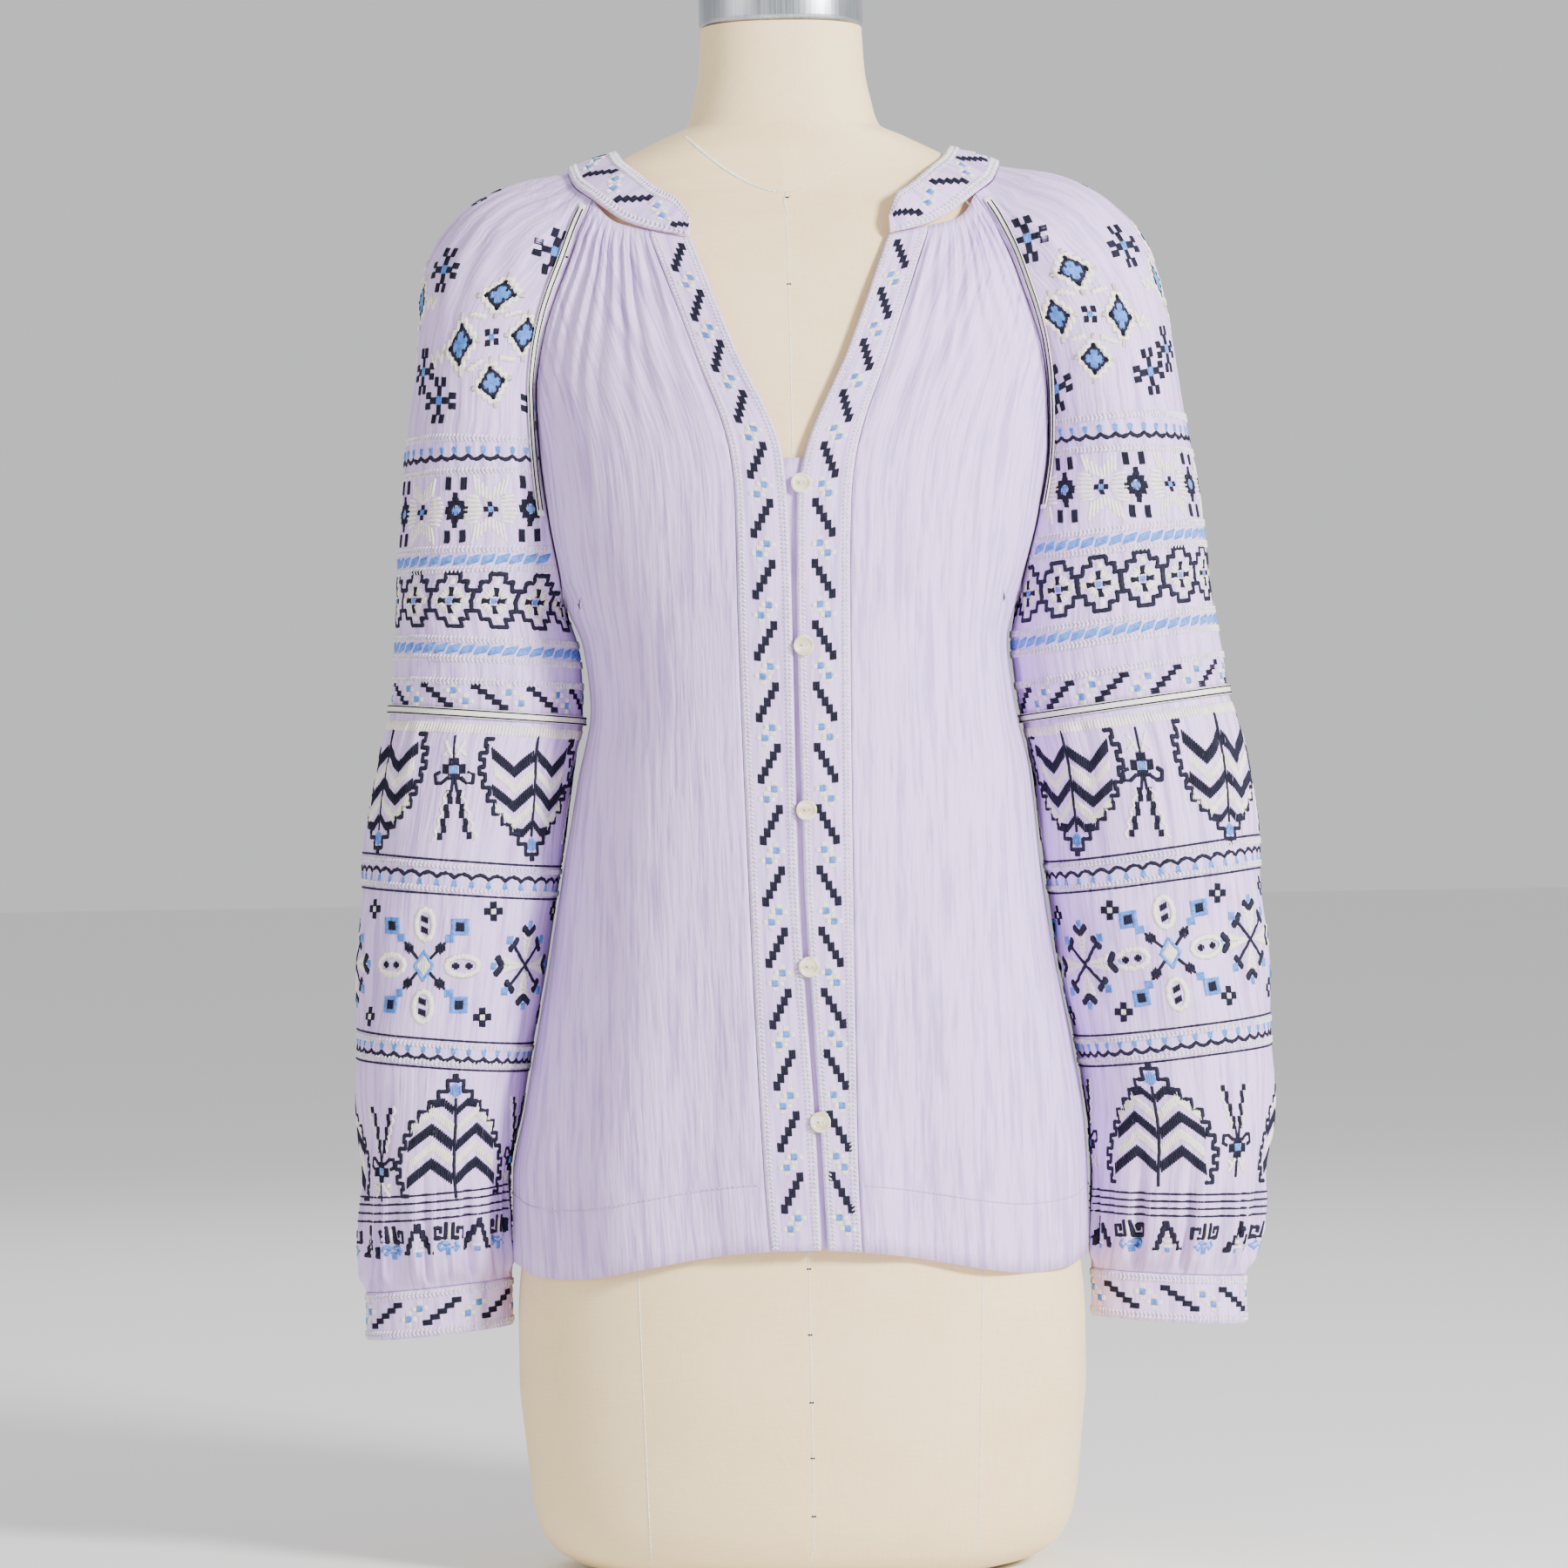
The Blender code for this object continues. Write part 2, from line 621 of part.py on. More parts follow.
def lower_fold(side):
    top = ELBOW_HEIGHT[side]

    def lift(place, height):
        below, above = top - height, height - WRIST_HEIGHT
        wave = 0.5 - 0.5 * math.cos(2 * HALF_TURN * LOWER_GATHERS * place)
        elbow = fade(below, 0.004, 0.014) * (1 - fade(below, 0.015, 0.090))
        wrist = fade(above, 0.0, 0.012) * (1 - fade(above, 0.018, 0.100))
        gathers = ELBOW_GATHER_DEPTH * elbow + WRIST_GATHER_DEPTH * wrist
        soft = math.sin(2 * HALF_TURN * (4 * place + 1.2 * height / 0.1))
        middle = fade(below, 0.02, 0.08) * fade(above, 0.02, 0.08)
        ends = fade(place, 0.0, 0.06) * (1 - fade(place, 0.94, 1.0))
        return ends * (gathers * wave + SOFT_FOLD_DEPTH * middle * soft)

    return lift


def build_sleeve(side, cloth, tape, collection):
    name = SIDE_NAMES[side]
    top = SLEEVES[side].keys[-1]
    elbow = ELBOW_HEIGHT[side]
    places = np.linspace(0.0, 1.0, 3 * HEAD_GATHERS + 1)
    upper = [elbow + SEAM_GAP / 2, 0.540, ARMPIT_HEIGHT, 0.592, 0.625, 0.662]
    upper += [0.698, 0.726, 0.750, 0.772, 0.791, 0.806, top]
    rows = sleeve_rows(side, upper, places, upper_fold(side))
    wall_object(
        f"sleeve_upper_{name}", face_out(side, rows), CLOTH_WALL, cloth, collection
    )

    places = np.linspace(0.0, 1.0, 3 * LOWER_GATHERS + 1)[:-1]
    lower = [WRIST_HEIGHT + SEAM_GAP / 2, 0.186, 0.202, 0.234, 0.272, 0.320, 0.375]
    lower += [0.430, 0.468, 0.488, elbow - SEAM_GAP / 2]
    rows = sleeve_rows(side, lower, places, lower_fold(side))
    wall_object(
        f"sleeve_lower_{name}", face_out(side, rows), CLOTH_WALL, cloth, collection, True
    )

    half = ELBOW_TAPE_WIDTH / 2
    rows = [
        sleeve_ring(side, h, places, lambda p: ELBOW_TAPE_LIFT)
        for h in (elbow - half, elbow + half)
    ]
    wall_object(
        f"elbow_tape_{name}", face_out(side, rows), TRIM_WALL, tape, collection, True
    )

    wrist = sleeve_ring(side, WRIST_HEIGHT, places)
    rows = [
        [p - np.array((0.0, 0.0, drop)) for p in wrist]
        for drop in (CUFF_DEPTH, SEAM_GAP / 2)
    ]
    wall_object(f"cuff_{name}", face_out(side, rows), BAND_WALL, cloth, collection, True)
    build_raglan_tapes(side, upper, tape, collection)


def build_raglan_tapes(side, rings, tape, collection):
    """Two narrow tapes on the sleeve's edges, front and back, from band to underarm."""
    name = SIDE_NAMES[side]
    heights = [h for h in rings[:-1] if h > RAGLAN_TAPE_END]
    for back in (False, True):
        grid = []
        for height in heights:
            ring = sleeve_rows(side, [height], np.linspace(0.0, 1.0, 61))[0]
            if back:
                ring = ring[::-1]
            run = np.cumsum([0] + [np.linalg.norm(b - a) for a, b in zip(ring, ring[1:])])
            share = np.interp(
                (RAGLAN_TAPE_INSET, RAGLAN_TAPE_INSET + RAGLAN_TAPE_WIDTH),
                run,
                np.linspace(0.0, 1.0, 61),
            )
            if back:
                share = 1 - share[::-1]
            grid.append(sleeve_rows(side, [height], share, lambda p, h: RAGLAN_TAPE_LIFT)[0])
        end = "back" if back else "front"
        wall_object(
            f"raglan_tape_{end}_{name}", face_out(side, grid), TRIM_WALL, tape, collection
        )


# The neck band, the embroidered strips and the buttons


def build_band(finish, collection):
    half = list(np.linspace(0.0, 1.0, 23))
    stops = [(RIGHT, p) for p in half] + [(LEFT, p) for p in half[::-1][1:]]
    outer = np.array([band_point(side, place, "outer") for side, place in stops])
    inner = np.array([band_point(side, place, "inner") for side, place in stops])
    along = np.gradient((outer + inner) / 2, axis=0)
    normal = np.cross(along, inner - outer)
    normal /= np.linalg.norm(normal, axis=1)[:, None]
    lift = normal * (BAND_WALL + SEAM_GAP)
    rows = [
        outer + (inner - outer) * share + lift + normal * crown
        for share, crown in ((0.0, 0.0), (0.5, 0.0012), (1.0, 0.0))
    ]
    wall_object("neck_band", rows, BAND_WALL, finish, collection)


def build_strip(side, finish, collection):
    """The embroidered strip down one front edge, level with the panel beside it."""
    strip = PLACKETS[side]
    grid = []
    for level in PANEL_LEVELS:
        row = []
        for share in (0.0, 0.35, 0.7, 1.0):
            top = band_point(side, STRIP_TOP_PLACE * (1 - share), "outer")
            edges = [strip.at(name, HEM_SIDE) for name in ("outer", "inner")]
            low = hem_height(
                turn_at(side, HEM_SIDE, edges[0] + (edges[1] - edges[0]) * share)
            )
            height = low + (top[2] - low) * level
            outer, inner = strip.at("outer", height), strip.at("inner", height)
            point = front_point(height, outer + (inner - outer) * share)
            edge = front_point(top[2], top[0])
            pull = (top - edge) * (1 - fade(top[2] - height, 0.0, NECK_BLEND))
            row.append(point + pull)
        grid.append(row)
    grid = [row[::-1] for row in grid] if side == RIGHT else grid
    wall_object(
        f"front_strip_{SIDE_NAMES[side]}", grid, BAND_WALL, finish, collection
    )


def build_underlap(finish, collection):
    """The plain strip under the opening, seen between the two embroidered strips."""
    low = hem_height(0.0)
    high = BAND.at("outer_z", 0.0)
    levels = [low + (high - low) * level for level in PANEL_LEVELS]
    heights = [low + 0.0010] + [h for h in levels[1:] if h < UNDERLAP_TOP] + [UNDERLAP_TOP]
    grid = []
    for height in heights:
        shift = 0.0085 * (1 - fade(height, 0.18, 0.42))
        low, high = UNDERLAP_SIDES
        grid.append(
            [
                front_point(height, x + shift, -BAND_WALL - 3 * SEAM_GAP)
                for x in np.linspace(low, high, 5)
            ]
        )
    wall_object("underlap", grid, CLOTH_WALL, finish, collection)


def strip_face(height, x):
    """The two points above and below this height between which the strips run straight."""
    low, high = hem_height(0.0), BAND.at("outer_z", 0.0)
    levels = [low + (high - low) * level for level in PANEL_LEVELS]
    above = next(i for i, level in enumerate(levels) if level > height)
    return [front_point(level, x, SEAM_GAP) for level in levels[above - 1 : above + 1]]


def build_buttons(finish, collection):
    """Dished two-hole buttons, without their holes, standing on the right strip."""
    radius, thick = BUTTON_RADIUS, BUTTON_THICKNESS
    profile = (
        (0.0, 0.0),
        (0.86, 0.0),
        (1.0, 0.45),
        (0.93, 0.95),
        (0.78, 1.0),
        (0.62, 0.78),
        (0.0, 0.72),
    )
    for number, height in enumerate(BUTTON_HEIGHTS, 1):
        shift = LOWEST_BUTTON_SHIFT if number == len(BUTTON_HEIGHTS) else 0.0
        below, above = strip_face(height, BUTTON_X + shift)
        base = below + (above - below) * (height - below[2]) / (above[2] - below[2])
        tilt = math.atan2(above[1] - below[1], above[2] - below[2])
        name = f"button_{number}"
        mesh = bpy.data.meshes.new(name)
        model = bmesh.new()
        points = [model.verts.new((r * radius, 0.0, h * thick)) for r, h in profile]
        for a, b in zip(points[:-1], points[1:]):
            model.edges.new((a, b))
        bmesh.ops.spin(
            model,
            geom=list(model.edges) + list(model.verts),
            axis=(0, 0, 1),
            cent=(0, 0, 0),
            angle=2 * HALF_TURN,
            steps=16,
        )
        bmesh.ops.remove_doubles(model, verts=model.verts, dist=0.00002)
        bmesh.ops.recalc_face_normals(model, faces=model.faces)
        model.to_mesh(mesh)
        model.free()
        mesh.shade_smooth()
        mesh.set_sharp_from_angle(angle=math.radians(40))
        made = place_object(name, mesh, finish, collection)
        made.location = base - np.array((0.0, SEAM_GAP, 0.0))
        made.rotation_euler = (HALF_TURN / 2 - tilt, 0.0, 0.0)


def main():
    for old in list(bpy.data.objects):
        bpy.data.objects.remove(old, do_unlink=True)
    collection = bpy.data.collections.new("embroidered_blouse_on_form")
    bpy.context.scene.collection.children.link(collection)

    linen = material("form_linen", (0.87, 0.78, 0.60), 0.9)
    steel = material("brushed_steel", (0.55, 0.57, 0.60), 0.35, 1.0)
    gauze = material("lilac_gauze", (0.72, 0.65, 0.82), 0.9)
    trim = material("embroidered_gauze", (0.68, 0.62, 0.80), 0.85)
    tape = material("ivory_tape", (0.86, 0.82, 0.72), 0.85)
    shell = material("button_shell", (0.85, 0.76, 0.56), 0.35)

    build_form(linen, collection)
    build_cap(steel, collection)
    for side in (LEFT, RIGHT):
        wall_object(
            f"front_{SIDE_NAMES[side]}", front_rows(side, 24), CLOTH_WALL, gauze, collection
        )
        build_strip(side, trim, collection)
        build_sleeve(side, gauze, tape, collection)
    wall_object("back", back_rows(24), CLOTH_WALL, gauze, collection)
    build_underlap(gauze, collection)
    build_band(trim, collection)
    build_buttons(shell, collection)

    for made in collection.objects:
        made.location = [at + move for at, move in zip(made.location, FRAME_SHIFT)]


main()
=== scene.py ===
"""An embroidered lilac folk blouse on a limbless dress form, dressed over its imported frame.

Metres, +Z up. The blouse faces -Y and the viewer's right is +X. The tables give the shapes
from the form's own axis, in millimetres; every finished mesh is moved by FRAME_SHIFT.
Distances along and across a cloth face are metres, and motifs are charted in millimetres.
"""

import logging
import math
from dataclasses import dataclass, field
from enum import Enum
from functools import partial
from typing import Callable, Optional, Sequence

import bpy
import numpy as np
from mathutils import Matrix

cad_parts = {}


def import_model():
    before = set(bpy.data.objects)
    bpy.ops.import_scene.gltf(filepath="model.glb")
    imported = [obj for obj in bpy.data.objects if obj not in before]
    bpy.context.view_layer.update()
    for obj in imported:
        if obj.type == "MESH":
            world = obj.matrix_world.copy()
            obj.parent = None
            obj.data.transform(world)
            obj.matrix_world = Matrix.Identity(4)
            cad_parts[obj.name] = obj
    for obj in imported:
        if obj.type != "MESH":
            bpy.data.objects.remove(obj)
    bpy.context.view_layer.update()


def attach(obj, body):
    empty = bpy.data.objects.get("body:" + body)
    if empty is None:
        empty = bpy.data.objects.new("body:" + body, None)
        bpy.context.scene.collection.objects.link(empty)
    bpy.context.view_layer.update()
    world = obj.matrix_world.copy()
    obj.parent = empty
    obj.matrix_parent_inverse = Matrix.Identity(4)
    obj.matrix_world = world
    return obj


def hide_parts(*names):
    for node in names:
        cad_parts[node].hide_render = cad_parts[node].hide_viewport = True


logging.basicConfig(level=logging.INFO, format="%(message)s")
LOG = logging.getLogger("blouse")

MM = 0.001
HALF_TURN = math.pi
FRAME_SHIFT = np.array((-0.0096, -0.0010, 0.0))

CLOTH_WALL = 0.0012
BAND_WALL = 0.0016
TRIM_WALL = 0.0007
SEAM_GAP = 0.0004
NECK_BLEND = 0.050
NECK_GAP_PLACE = 0.002
RIGHT_BAND_END_SHIFT = 0.0060
TORSO_POWER = 2.3
BLOUSE_POWER = 2.2
ARMPIT_HEIGHT = 0.5725
HEM_MIDDLE = 0.1960
HEM_LOWEST = 0.1775
HEM_SIDE = 0.1840
HEM_LOWEST_ANGLE = 0.95
HEM_DEPTH = 0.040
CUFF_DEPTH = 0.0285
WRIST_HEIGHT = 0.1740
SLEEVE_CENTRE_Y = 0.0020
SLEEVE_RADIUS = 0.0550
FRONT_FOLD_DEPTH = 0.0034
BACK_FOLD_DEPTH = 0.0030
SLEEVE_FOLD_DEPTH = 0.0032
HEM_FOLD_DEPTH = 0.0046
CRINKLE_HEIGHT = 0.00022
ELBOW_TAPE_WIDTH = 0.0052
ELBOW_TAPE_LIFT = 0.0019
RAGLAN_TAPE_LIFT = 0.0021
RAGLAN_TAPE_WIDTH = 0.0042
RAGLAN_TAPE_INSET = 0.0034
RAGLAN_TAPE_ENDS = (0.806, 0.625)
TAPE_LINE_INSET = 0.8 * MM
UNDERLAP_TOP = 0.6535
UNDERLAP_SIDES = (-0.0200, 0.0240)
RAGLAN_FRONT_PLACE = 0.28
RAGLAN_BACK_PLACE = 0.68
STRIP_TOP_PLACE = 0.10
CAP_HEIGHT = 0.0400
BUTTON_RADIUS = 0.0060
BUTTON_THICKNESS = 0.0024
BUTTON_X = 0.0072
BUTTON_HEIGHTS = (0.6382, 0.5447, 0.4498, 0.3594, 0.2699)
LOWEST_BUTTON_SHIFT = 0.0050
BUTTON_EDGE = 0.00045
BUTTON_HOLE_X = 0.0013
BUTTON_HOLE_RADIUS = 0.00062
BUTTON_THREAD_RADIUS = 0.00034

SAMPLES = 900
LONG_STITCH = 5.6 * MM
SHORT_STOPS = (0.1, 0.9)
LONG_STOPS = (0.1, 0.36, 0.64, 0.9)
POLE_LIFT, EDGE_LIFT = 0.02 * MM, -0.12 * MM
BRAID_PITCH, BRAID_LEAN = 2.5 * MM, 1.5 * MM
STRIP_START = 0.6185
STRIP_PITCHES = (0.0354, 0.0346)
BAND_PITCH = 0.0365
DIAGONAL_PITCH = 0.0335
CUFF_PITCH = 0.0360
CLUSTER_PITCH = 0.0860
BOTH = (1, -1)
QUARTERS = ((1, 1), (1, -1), (-1, 1), (-1, -1))

Array = Point = np.ndarray
Spot = tuple[float, float]
Colour = tuple[float, float, float]
Row = tuple[float, ...]


class Side(Enum):
    """The viewer's left or right."""

    LEFT = -1
    RIGHT = 1

    @property
    def word(self) -> str:
        """The side's name in lower case."""
        return self.name.lower()


class Table:
    """A short table with named columns, read between its rows by a monotone cubic.

    Args:
        columns: The columns' names in one line.
        *rows: The rows, in millimetres.
        parts: The first column's parts to one whole, where it isn't in millimetres.
    """

    def __init__(self, columns: str, *rows: Sequence[float], parts: float = 1000) -> None:
        keys, *values = np.array(sorted(rows), dtype=float).T
        self.keys = np.round(keys / parts, 7)
        self._values = {name: np.round(y / 1000, 7) for name, y in zip(columns.split()[1:], values)}
        self._slopes = {name: self._slope(y) for name, y in self._values.items()}

    def _slope(self, y: Array) -> Array:
        step = np.diff(self.keys)
        rise = np.diff(y) / step
        slope = np.zeros_like(y)
        same = rise[1:] * rise[:-1] > 0
        near, far = 2 * step[1:] + step[:-1], step[1:] + 2 * step[:-1]
        mean = near[same] / rise[:-1][same] + far[same] / rise[1:][same]
        slope[1:-1][same] = (near + far)[same] / mean
        slope[0], slope[-1] = rise[0], rise[-1]
        return slope

    def at(self, name: str, key: Array | float) -> Array:
        """One column's values where the first column is key, a number or an array."""
        x, y, slope = self.keys, self._values[name], self._slopes[name]
        key = np.clip(key, x[0], x[-1])
        i = np.clip(np.searchsorted(x, key) - 1, 0, len(x) - 2)
        step = x[i + 1] - x[i]
        t = (key - x[i]) / step
        ends = y[i] * (1 + 2 * t) * (1 - t) ** 2 + y[i + 1] * t * t * (3 - 2 * t)
        return ends + step * (slope[i] * t * (1 - t) ** 2 + slope[i + 1] * t * t * (t - 1))


FORM = Table(
    "height half_width half_depth centre_y",
    (0, 118, 78, 0),
    (6, 138, 95, 0),
    (16, 152, 106, 0),
    (35, 160.5, 113, 0),
    (75, 165.5, 116.5, 1),
    (115, 169, 118, 2),
    (150, 169, 118, 3),
    (184, 166.5, 117, 3),
    (230, 160, 113, 3),
    (310, 143, 102, 0),
    (380, 126, 94, -2),
    (455, 115, 86, -4),
    (530, 116.5, 94, -6),
    (600, 133, 108, -10),
    (660, 144, 104, -4),
    (720, 153.5, 92, 4),
    (765, 162, 79, 7),
    (795, 164, 64.5, 8),
    (806, 158.5, 57.5, 8),
    (814, 149, 52.5, 8),
    (822, 134, 48.5, 7),
    (830, 116, 46, 6),
    (840, 94.5, 45.5, 5),
    (850, 73, 47, 3),
    (857, 58, 48, 2),
    (872, 53, 47, 0),
    (890, 49.5, 46, -1),
    (915, 48, 45.5, -2),
)

# The blouse body's outer face: how far it stands out to each side, in front and behind.
BODY = Table(
    "height left right front back",
    (175, 171.5, 170.5, 125.5, 128.5),
    (202, 171.5, 172, 125, 127.5),
    (235, 171, 171.6, 124, 126),
    (270, 164, 169.5, 123, 123.5),
    (310, 156.5, 163.4, 122, 121),
    (364, 146.4, 153.4, 121.5, 118),
    (420, 137, 146, 121, 115),
    (470, 128, 141.5, 121, 112.5),
    (512, 120, 132.5, 122, 110.5),
    (548, 123.8, 128.8, 123.5, 109.5),
    (572.5, 133.5, 135, 124, 109),
    (620, 147, 150, 122.5, 109),
    (660, 153, 158, 114.5, 108.5),
    (720, 160, 163, 95.5, 103.5),
    (765, 164, 166, 79.5, 95),
    (795, 166, 167, 63, 84),
    (806, 165, 166, 57, 78),
    (830, 160, 161, 50, 68),
)

# A sleeve's rings: the seam beside the body, the outermost point, and the depths between.
SLEEVE_COLUMNS = "seam_height seam_x outer_height outer_x front back"
SLEEVES = {}
SLEEVES[Side.LEFT] = Table(
    SLEEVE_COLUMNS,
    (811, 113, 834, 128.5, 46, 48), (792, 120.5, 827.5, 156, 52, 56),
    (771, 128, 815, 182, 56, 61), (754, 135, 801, 198.5, 57, 63), (738, 140.5, 783, 211, 57, 63),
    (720, 144.8, 760, 217.5, 56.5, 62), (697, 148, 725, 220, 56, 60), (661, 146.4, 678, 227, 55, 57),
    (623.5, 141.8, 632, 231.5, 54, 55), (591, 136.2, 595, 234, 53, 54), (572.5, 133.7, 576, 235, 52, 53),
    (548, 126.4, 554, 236.2, 52, 52), (525, 124.4, 533, 237.8, 51.5, 51.5),
    (504.2, 124.4, 513.7, 239.2, 51, 51), (486, 128.8, 492, 244.5, 54.5, 53),
    (460, 133, 464, 250.4, 56, 54), (413, 139.6, 414, 258.6, 56.5, 54), (357, 149, 356, 261.4, 56, 53.5),
    (305, 158.7, 302, 264, 55, 52.5), (272, 165, 268, 262.5, 54, 51), (234, 172.4, 228, 261, 51, 48),
    (200, 173.2, 193, 261.5, 44, 42), (185, 172.6, 177, 261.2, 37, 36), (174, 172.2, 166, 260, 29, 29),
)
SLEEVES[Side.RIGHT] = Table(
    SLEEVE_COLUMNS,
    (811, 113, 834, 128.5, 46, 48), (792, 124, 828.5, 156, 52, 56),
    (771, 134, 818, 180, 56, 61), (754, 140, 805, 198, 58, 63), (738, 145.5, 785, 214.5, 59, 63),
    (720, 150.5, 758, 224, 59, 62), (697, 153.6, 726, 230.5, 58.5, 61), (664, 154.3, 682, 237, 58, 59),
    (624.5, 148, 636, 245, 57, 57.5), (591, 139.8, 599, 249, 56, 56.5),
    (572.5, 135.2, 580, 250.5, 55.5, 56), (548, 130.9, 556, 254.5, 55, 55.5),
    (525, 132.7, 537, 258, 55, 55), (501.5, 136.8, 517.5, 260, 55, 55), (486, 140, 497, 266, 58, 57),
    (470, 143, 474, 271.5, 60, 58), (426, 147.5, 426, 277.2, 60, 58), (365, 155, 364, 281, 59.5, 57),
    (308, 165.2, 306, 283.6, 58, 55), (260, 172.2, 258, 283, 56, 53), (233, 173.2, 230, 278, 52, 49),
    (202, 173.6, 198, 274, 45, 43), (186, 173.2, 180, 269, 37, 36), (174, 172.8, 168, 265.5, 29, 29),
)
ELBOW_HEIGHT = {Side.LEFT: 0.5042, Side.RIGHT: 0.5015}

# The embroidered strips' edges from the hem to the neck.
PLACKET_COLUMNS = "height outer inner"
PLACKETS = {}
PLACKETS[Side.LEFT] = Table(
    PLACKET_COLUMNS,
    (170, -16, 12.5), (260, -21.5, 9.5), (420, -27, 1.5), (570, -30.5, 0.6),
    (629, -31, -1), (653.5, -33, -3), (720, -54.5, -30), (788, -79, -55.5),
)
PLACKETS[Side.RIGHT] = Table(
    PLACKET_COLUMNS,
    (170, 36, 16.5), (260, 33.5, 12.5), (420, 33.5, 5), (570, 34.5, 3.6), (629, 36, 4.5),
    (653.5, 39, 9), (720, 61, 37), (788, 84, 61.5),
)

# The neck band's edges on one half; place is in hundredths, from the front end to the centre back.
BAND = Table(
    "place outer_x outer_y outer_z inner_x inner_y inner_z",
    (0, 55.5, -62.5, 786.5, 54.5, -60.5, 797),
    (10, 79, -58.5, 791.5, 63, -54.5, 810.5),
    (18, 93, -54, 796.5, 72, -50, 815),
    (28, 113, -43, 811, 85, -37, 826),
    (38, 124, -24, 821, 94.5, -20, 835),
    (48, 128.5, 3, 832, 98.2, 1, 841.5),
    (58, 124, 32, 824, 94, 24, 839),
    (68, 113, 56, 811, 83.5, 43, 832),
    (80, 82, 68, 808, 64, 55, 828),
    (90, 42, 74, 806.5, 34, 60.5, 826.5),
    (100, 0, 75.5, 806, 0, 62, 826),
    parts=100,
)


# Shapes


def fade(value: Array | float, low: float, high: float) -> Array:
    """Smooth step from 0 at low to 1 at high."""
    t = np.clip((value - low) / (high - low), 0.0, 1.0)
    return t * t * (3 - 2 * t)


def lattice(first: Array, second: Array) -> list[Array]:
    """Two arrays over a grid: first changes from row to row, second along each row."""
    return np.meshgrid(first, second, indexing="ij")


def power_sign(value: Array, power: float) -> Array:
    """The value's power, with its own sign."""
    return np.copysign(np.abs(value) ** power, value)


def form_point(height: Array, turn: Array) -> Point:
    """Points of the form's skin; turn 0 is the front, a quarter turn is +X."""
    height, turn = np.broadcast_arrays(height, turn)
    power = 2 / TORSO_POWER
    x = FORM.at("half_width", height) * power_sign(np.sin(turn), power)
    y = -FORM.at("half_depth", height) * power_sign(np.cos(turn), power)
    return np.stack((x, y + FORM.at("centre_y", height), height), axis=-1)


def body_point(side: Side, height: Array, turn: Array, out: Array | float = 0.0) -> Point:
    """Points of the blouse body's outer face.

    Args:
        side: Which half.
        height: Heights.
        turn: Turns from the centre front, up to a half turn at the centre back.
        out: How far the points are moved out along the face's normal.

    Returns:
        An array of points.
    """
    height, turn, out = np.broadcast_arrays(height, turn, out)
    power = 2 / BLOUSE_POWER
    width = BODY.at(side.word, height)
    front = turn <= HALF_TURN / 2
    depth = np.where(front, BODY.at("front", height), BODY.at("back", height))
    x = width * np.abs(np.sin(turn)) ** power
    y = -depth * power_sign(np.cos(turn), power)
    across = (x / width) ** (BLOUSE_POWER - 1) / width
    along = power_sign(y / depth, BLOUSE_POWER - 1) / depth
    length = np.hypot(across, along)
    return np.stack((side.value * (x + out * across / length), y + out * along / length, height), axis=-1)


def turn_at(side: Side, height: Array, x: Array) -> Array:
    """The turn at which the blouse body's section has this distance from its middle."""
    share = np.clip(side.value * x / BODY.at(side.word, height), 0.0, 1.0)
    return np.arcsin(share ** (BLOUSE_POWER / 2))


def front_point(height: Array, x: Array, out: Array | float = 0.0) -> Point:
    """Points of the blouse front at a given x, on either side of the middle."""
    height, x = np.broadcast_arrays(height, x)
    halves = [body_point(s, height, turn_at(s, height, x), out) for s in Side]
    return np.where((x >= 0)[..., None], halves[1], halves[0])


def band_point(side: Side, place: Array, edge: str) -> Point:
    """Points of the neck band's outer or inner edge; the right end lies further out."""
    shift = 0.0
    if side is Side.RIGHT:
        shift = RIGHT_BAND_END_SHIFT * (1 - fade(place, 0.0, 0.2))
    return np.stack(
        (
            side.value * BAND.at(edge + "_x", place) + shift, BAND.at(edge + "_y", place),
            BAND.at(edge + "_z", place),
        ),
        axis=-1,
    )


def hem_height(turn: Array) -> Array:
    """The hem is highest at the centre front, lowest before the side seams."""
    rise = 0.5 + 0.5 * np.cos(HALF_TURN * np.minimum(turn / HEM_LOWEST_ANGLE, 1.0))
    far = (turn - HEM_LOWEST_ANGLE) / (HALF_TURN / 2 - HEM_LOWEST_ANGLE)
    side_rise = 0.5 - 0.5 * np.cos(HALF_TURN * np.clip(far, 0.0, 1.0))
    return HEM_LOWEST + (HEM_MIDDLE - HEM_LOWEST) * rise + (HEM_SIDE - HEM_LOWEST) * side_rise


def ripple(across: Array, along: Array, seed: float) -> Array:
    """Fine upright crinkles of the gauze, from -1 to 1; both distances are in metres."""
    slow = np.sin(along * 31 + seed * 1.7) + 0.6 * np.sin(along * 67 - seed)
    waves = (
        np.sin(across * 1180 + 1.9 * slow + seed)
        + 0.8 * np.sin(across * 790 - 1.3 * slow + 2.1 * seed)
        + 0.7 * np.sin(across * 1630 + 2.4 * np.sin(along * 47 + seed))
    )
    return waves / 2.5


def gathers(phase: Array, sharp: float = 1.0) -> Array:
    """Rounded folds with narrower valleys, one for each whole step of phase."""
    wave = 0.5 - 0.5 * np.cos(2 * HALF_TURN * phase)
    return wave**sharp


def grid_normals(grid: Point) -> Point:
    """Unit normals of a grid of points, from the way its rows and columns run."""
    normal = np.cross(np.gradient(grid, axis=1), np.gradient(grid, axis=0))
    return normal / np.maximum(np.linalg.norm(normal, axis=2, keepdims=True), 1e-12)


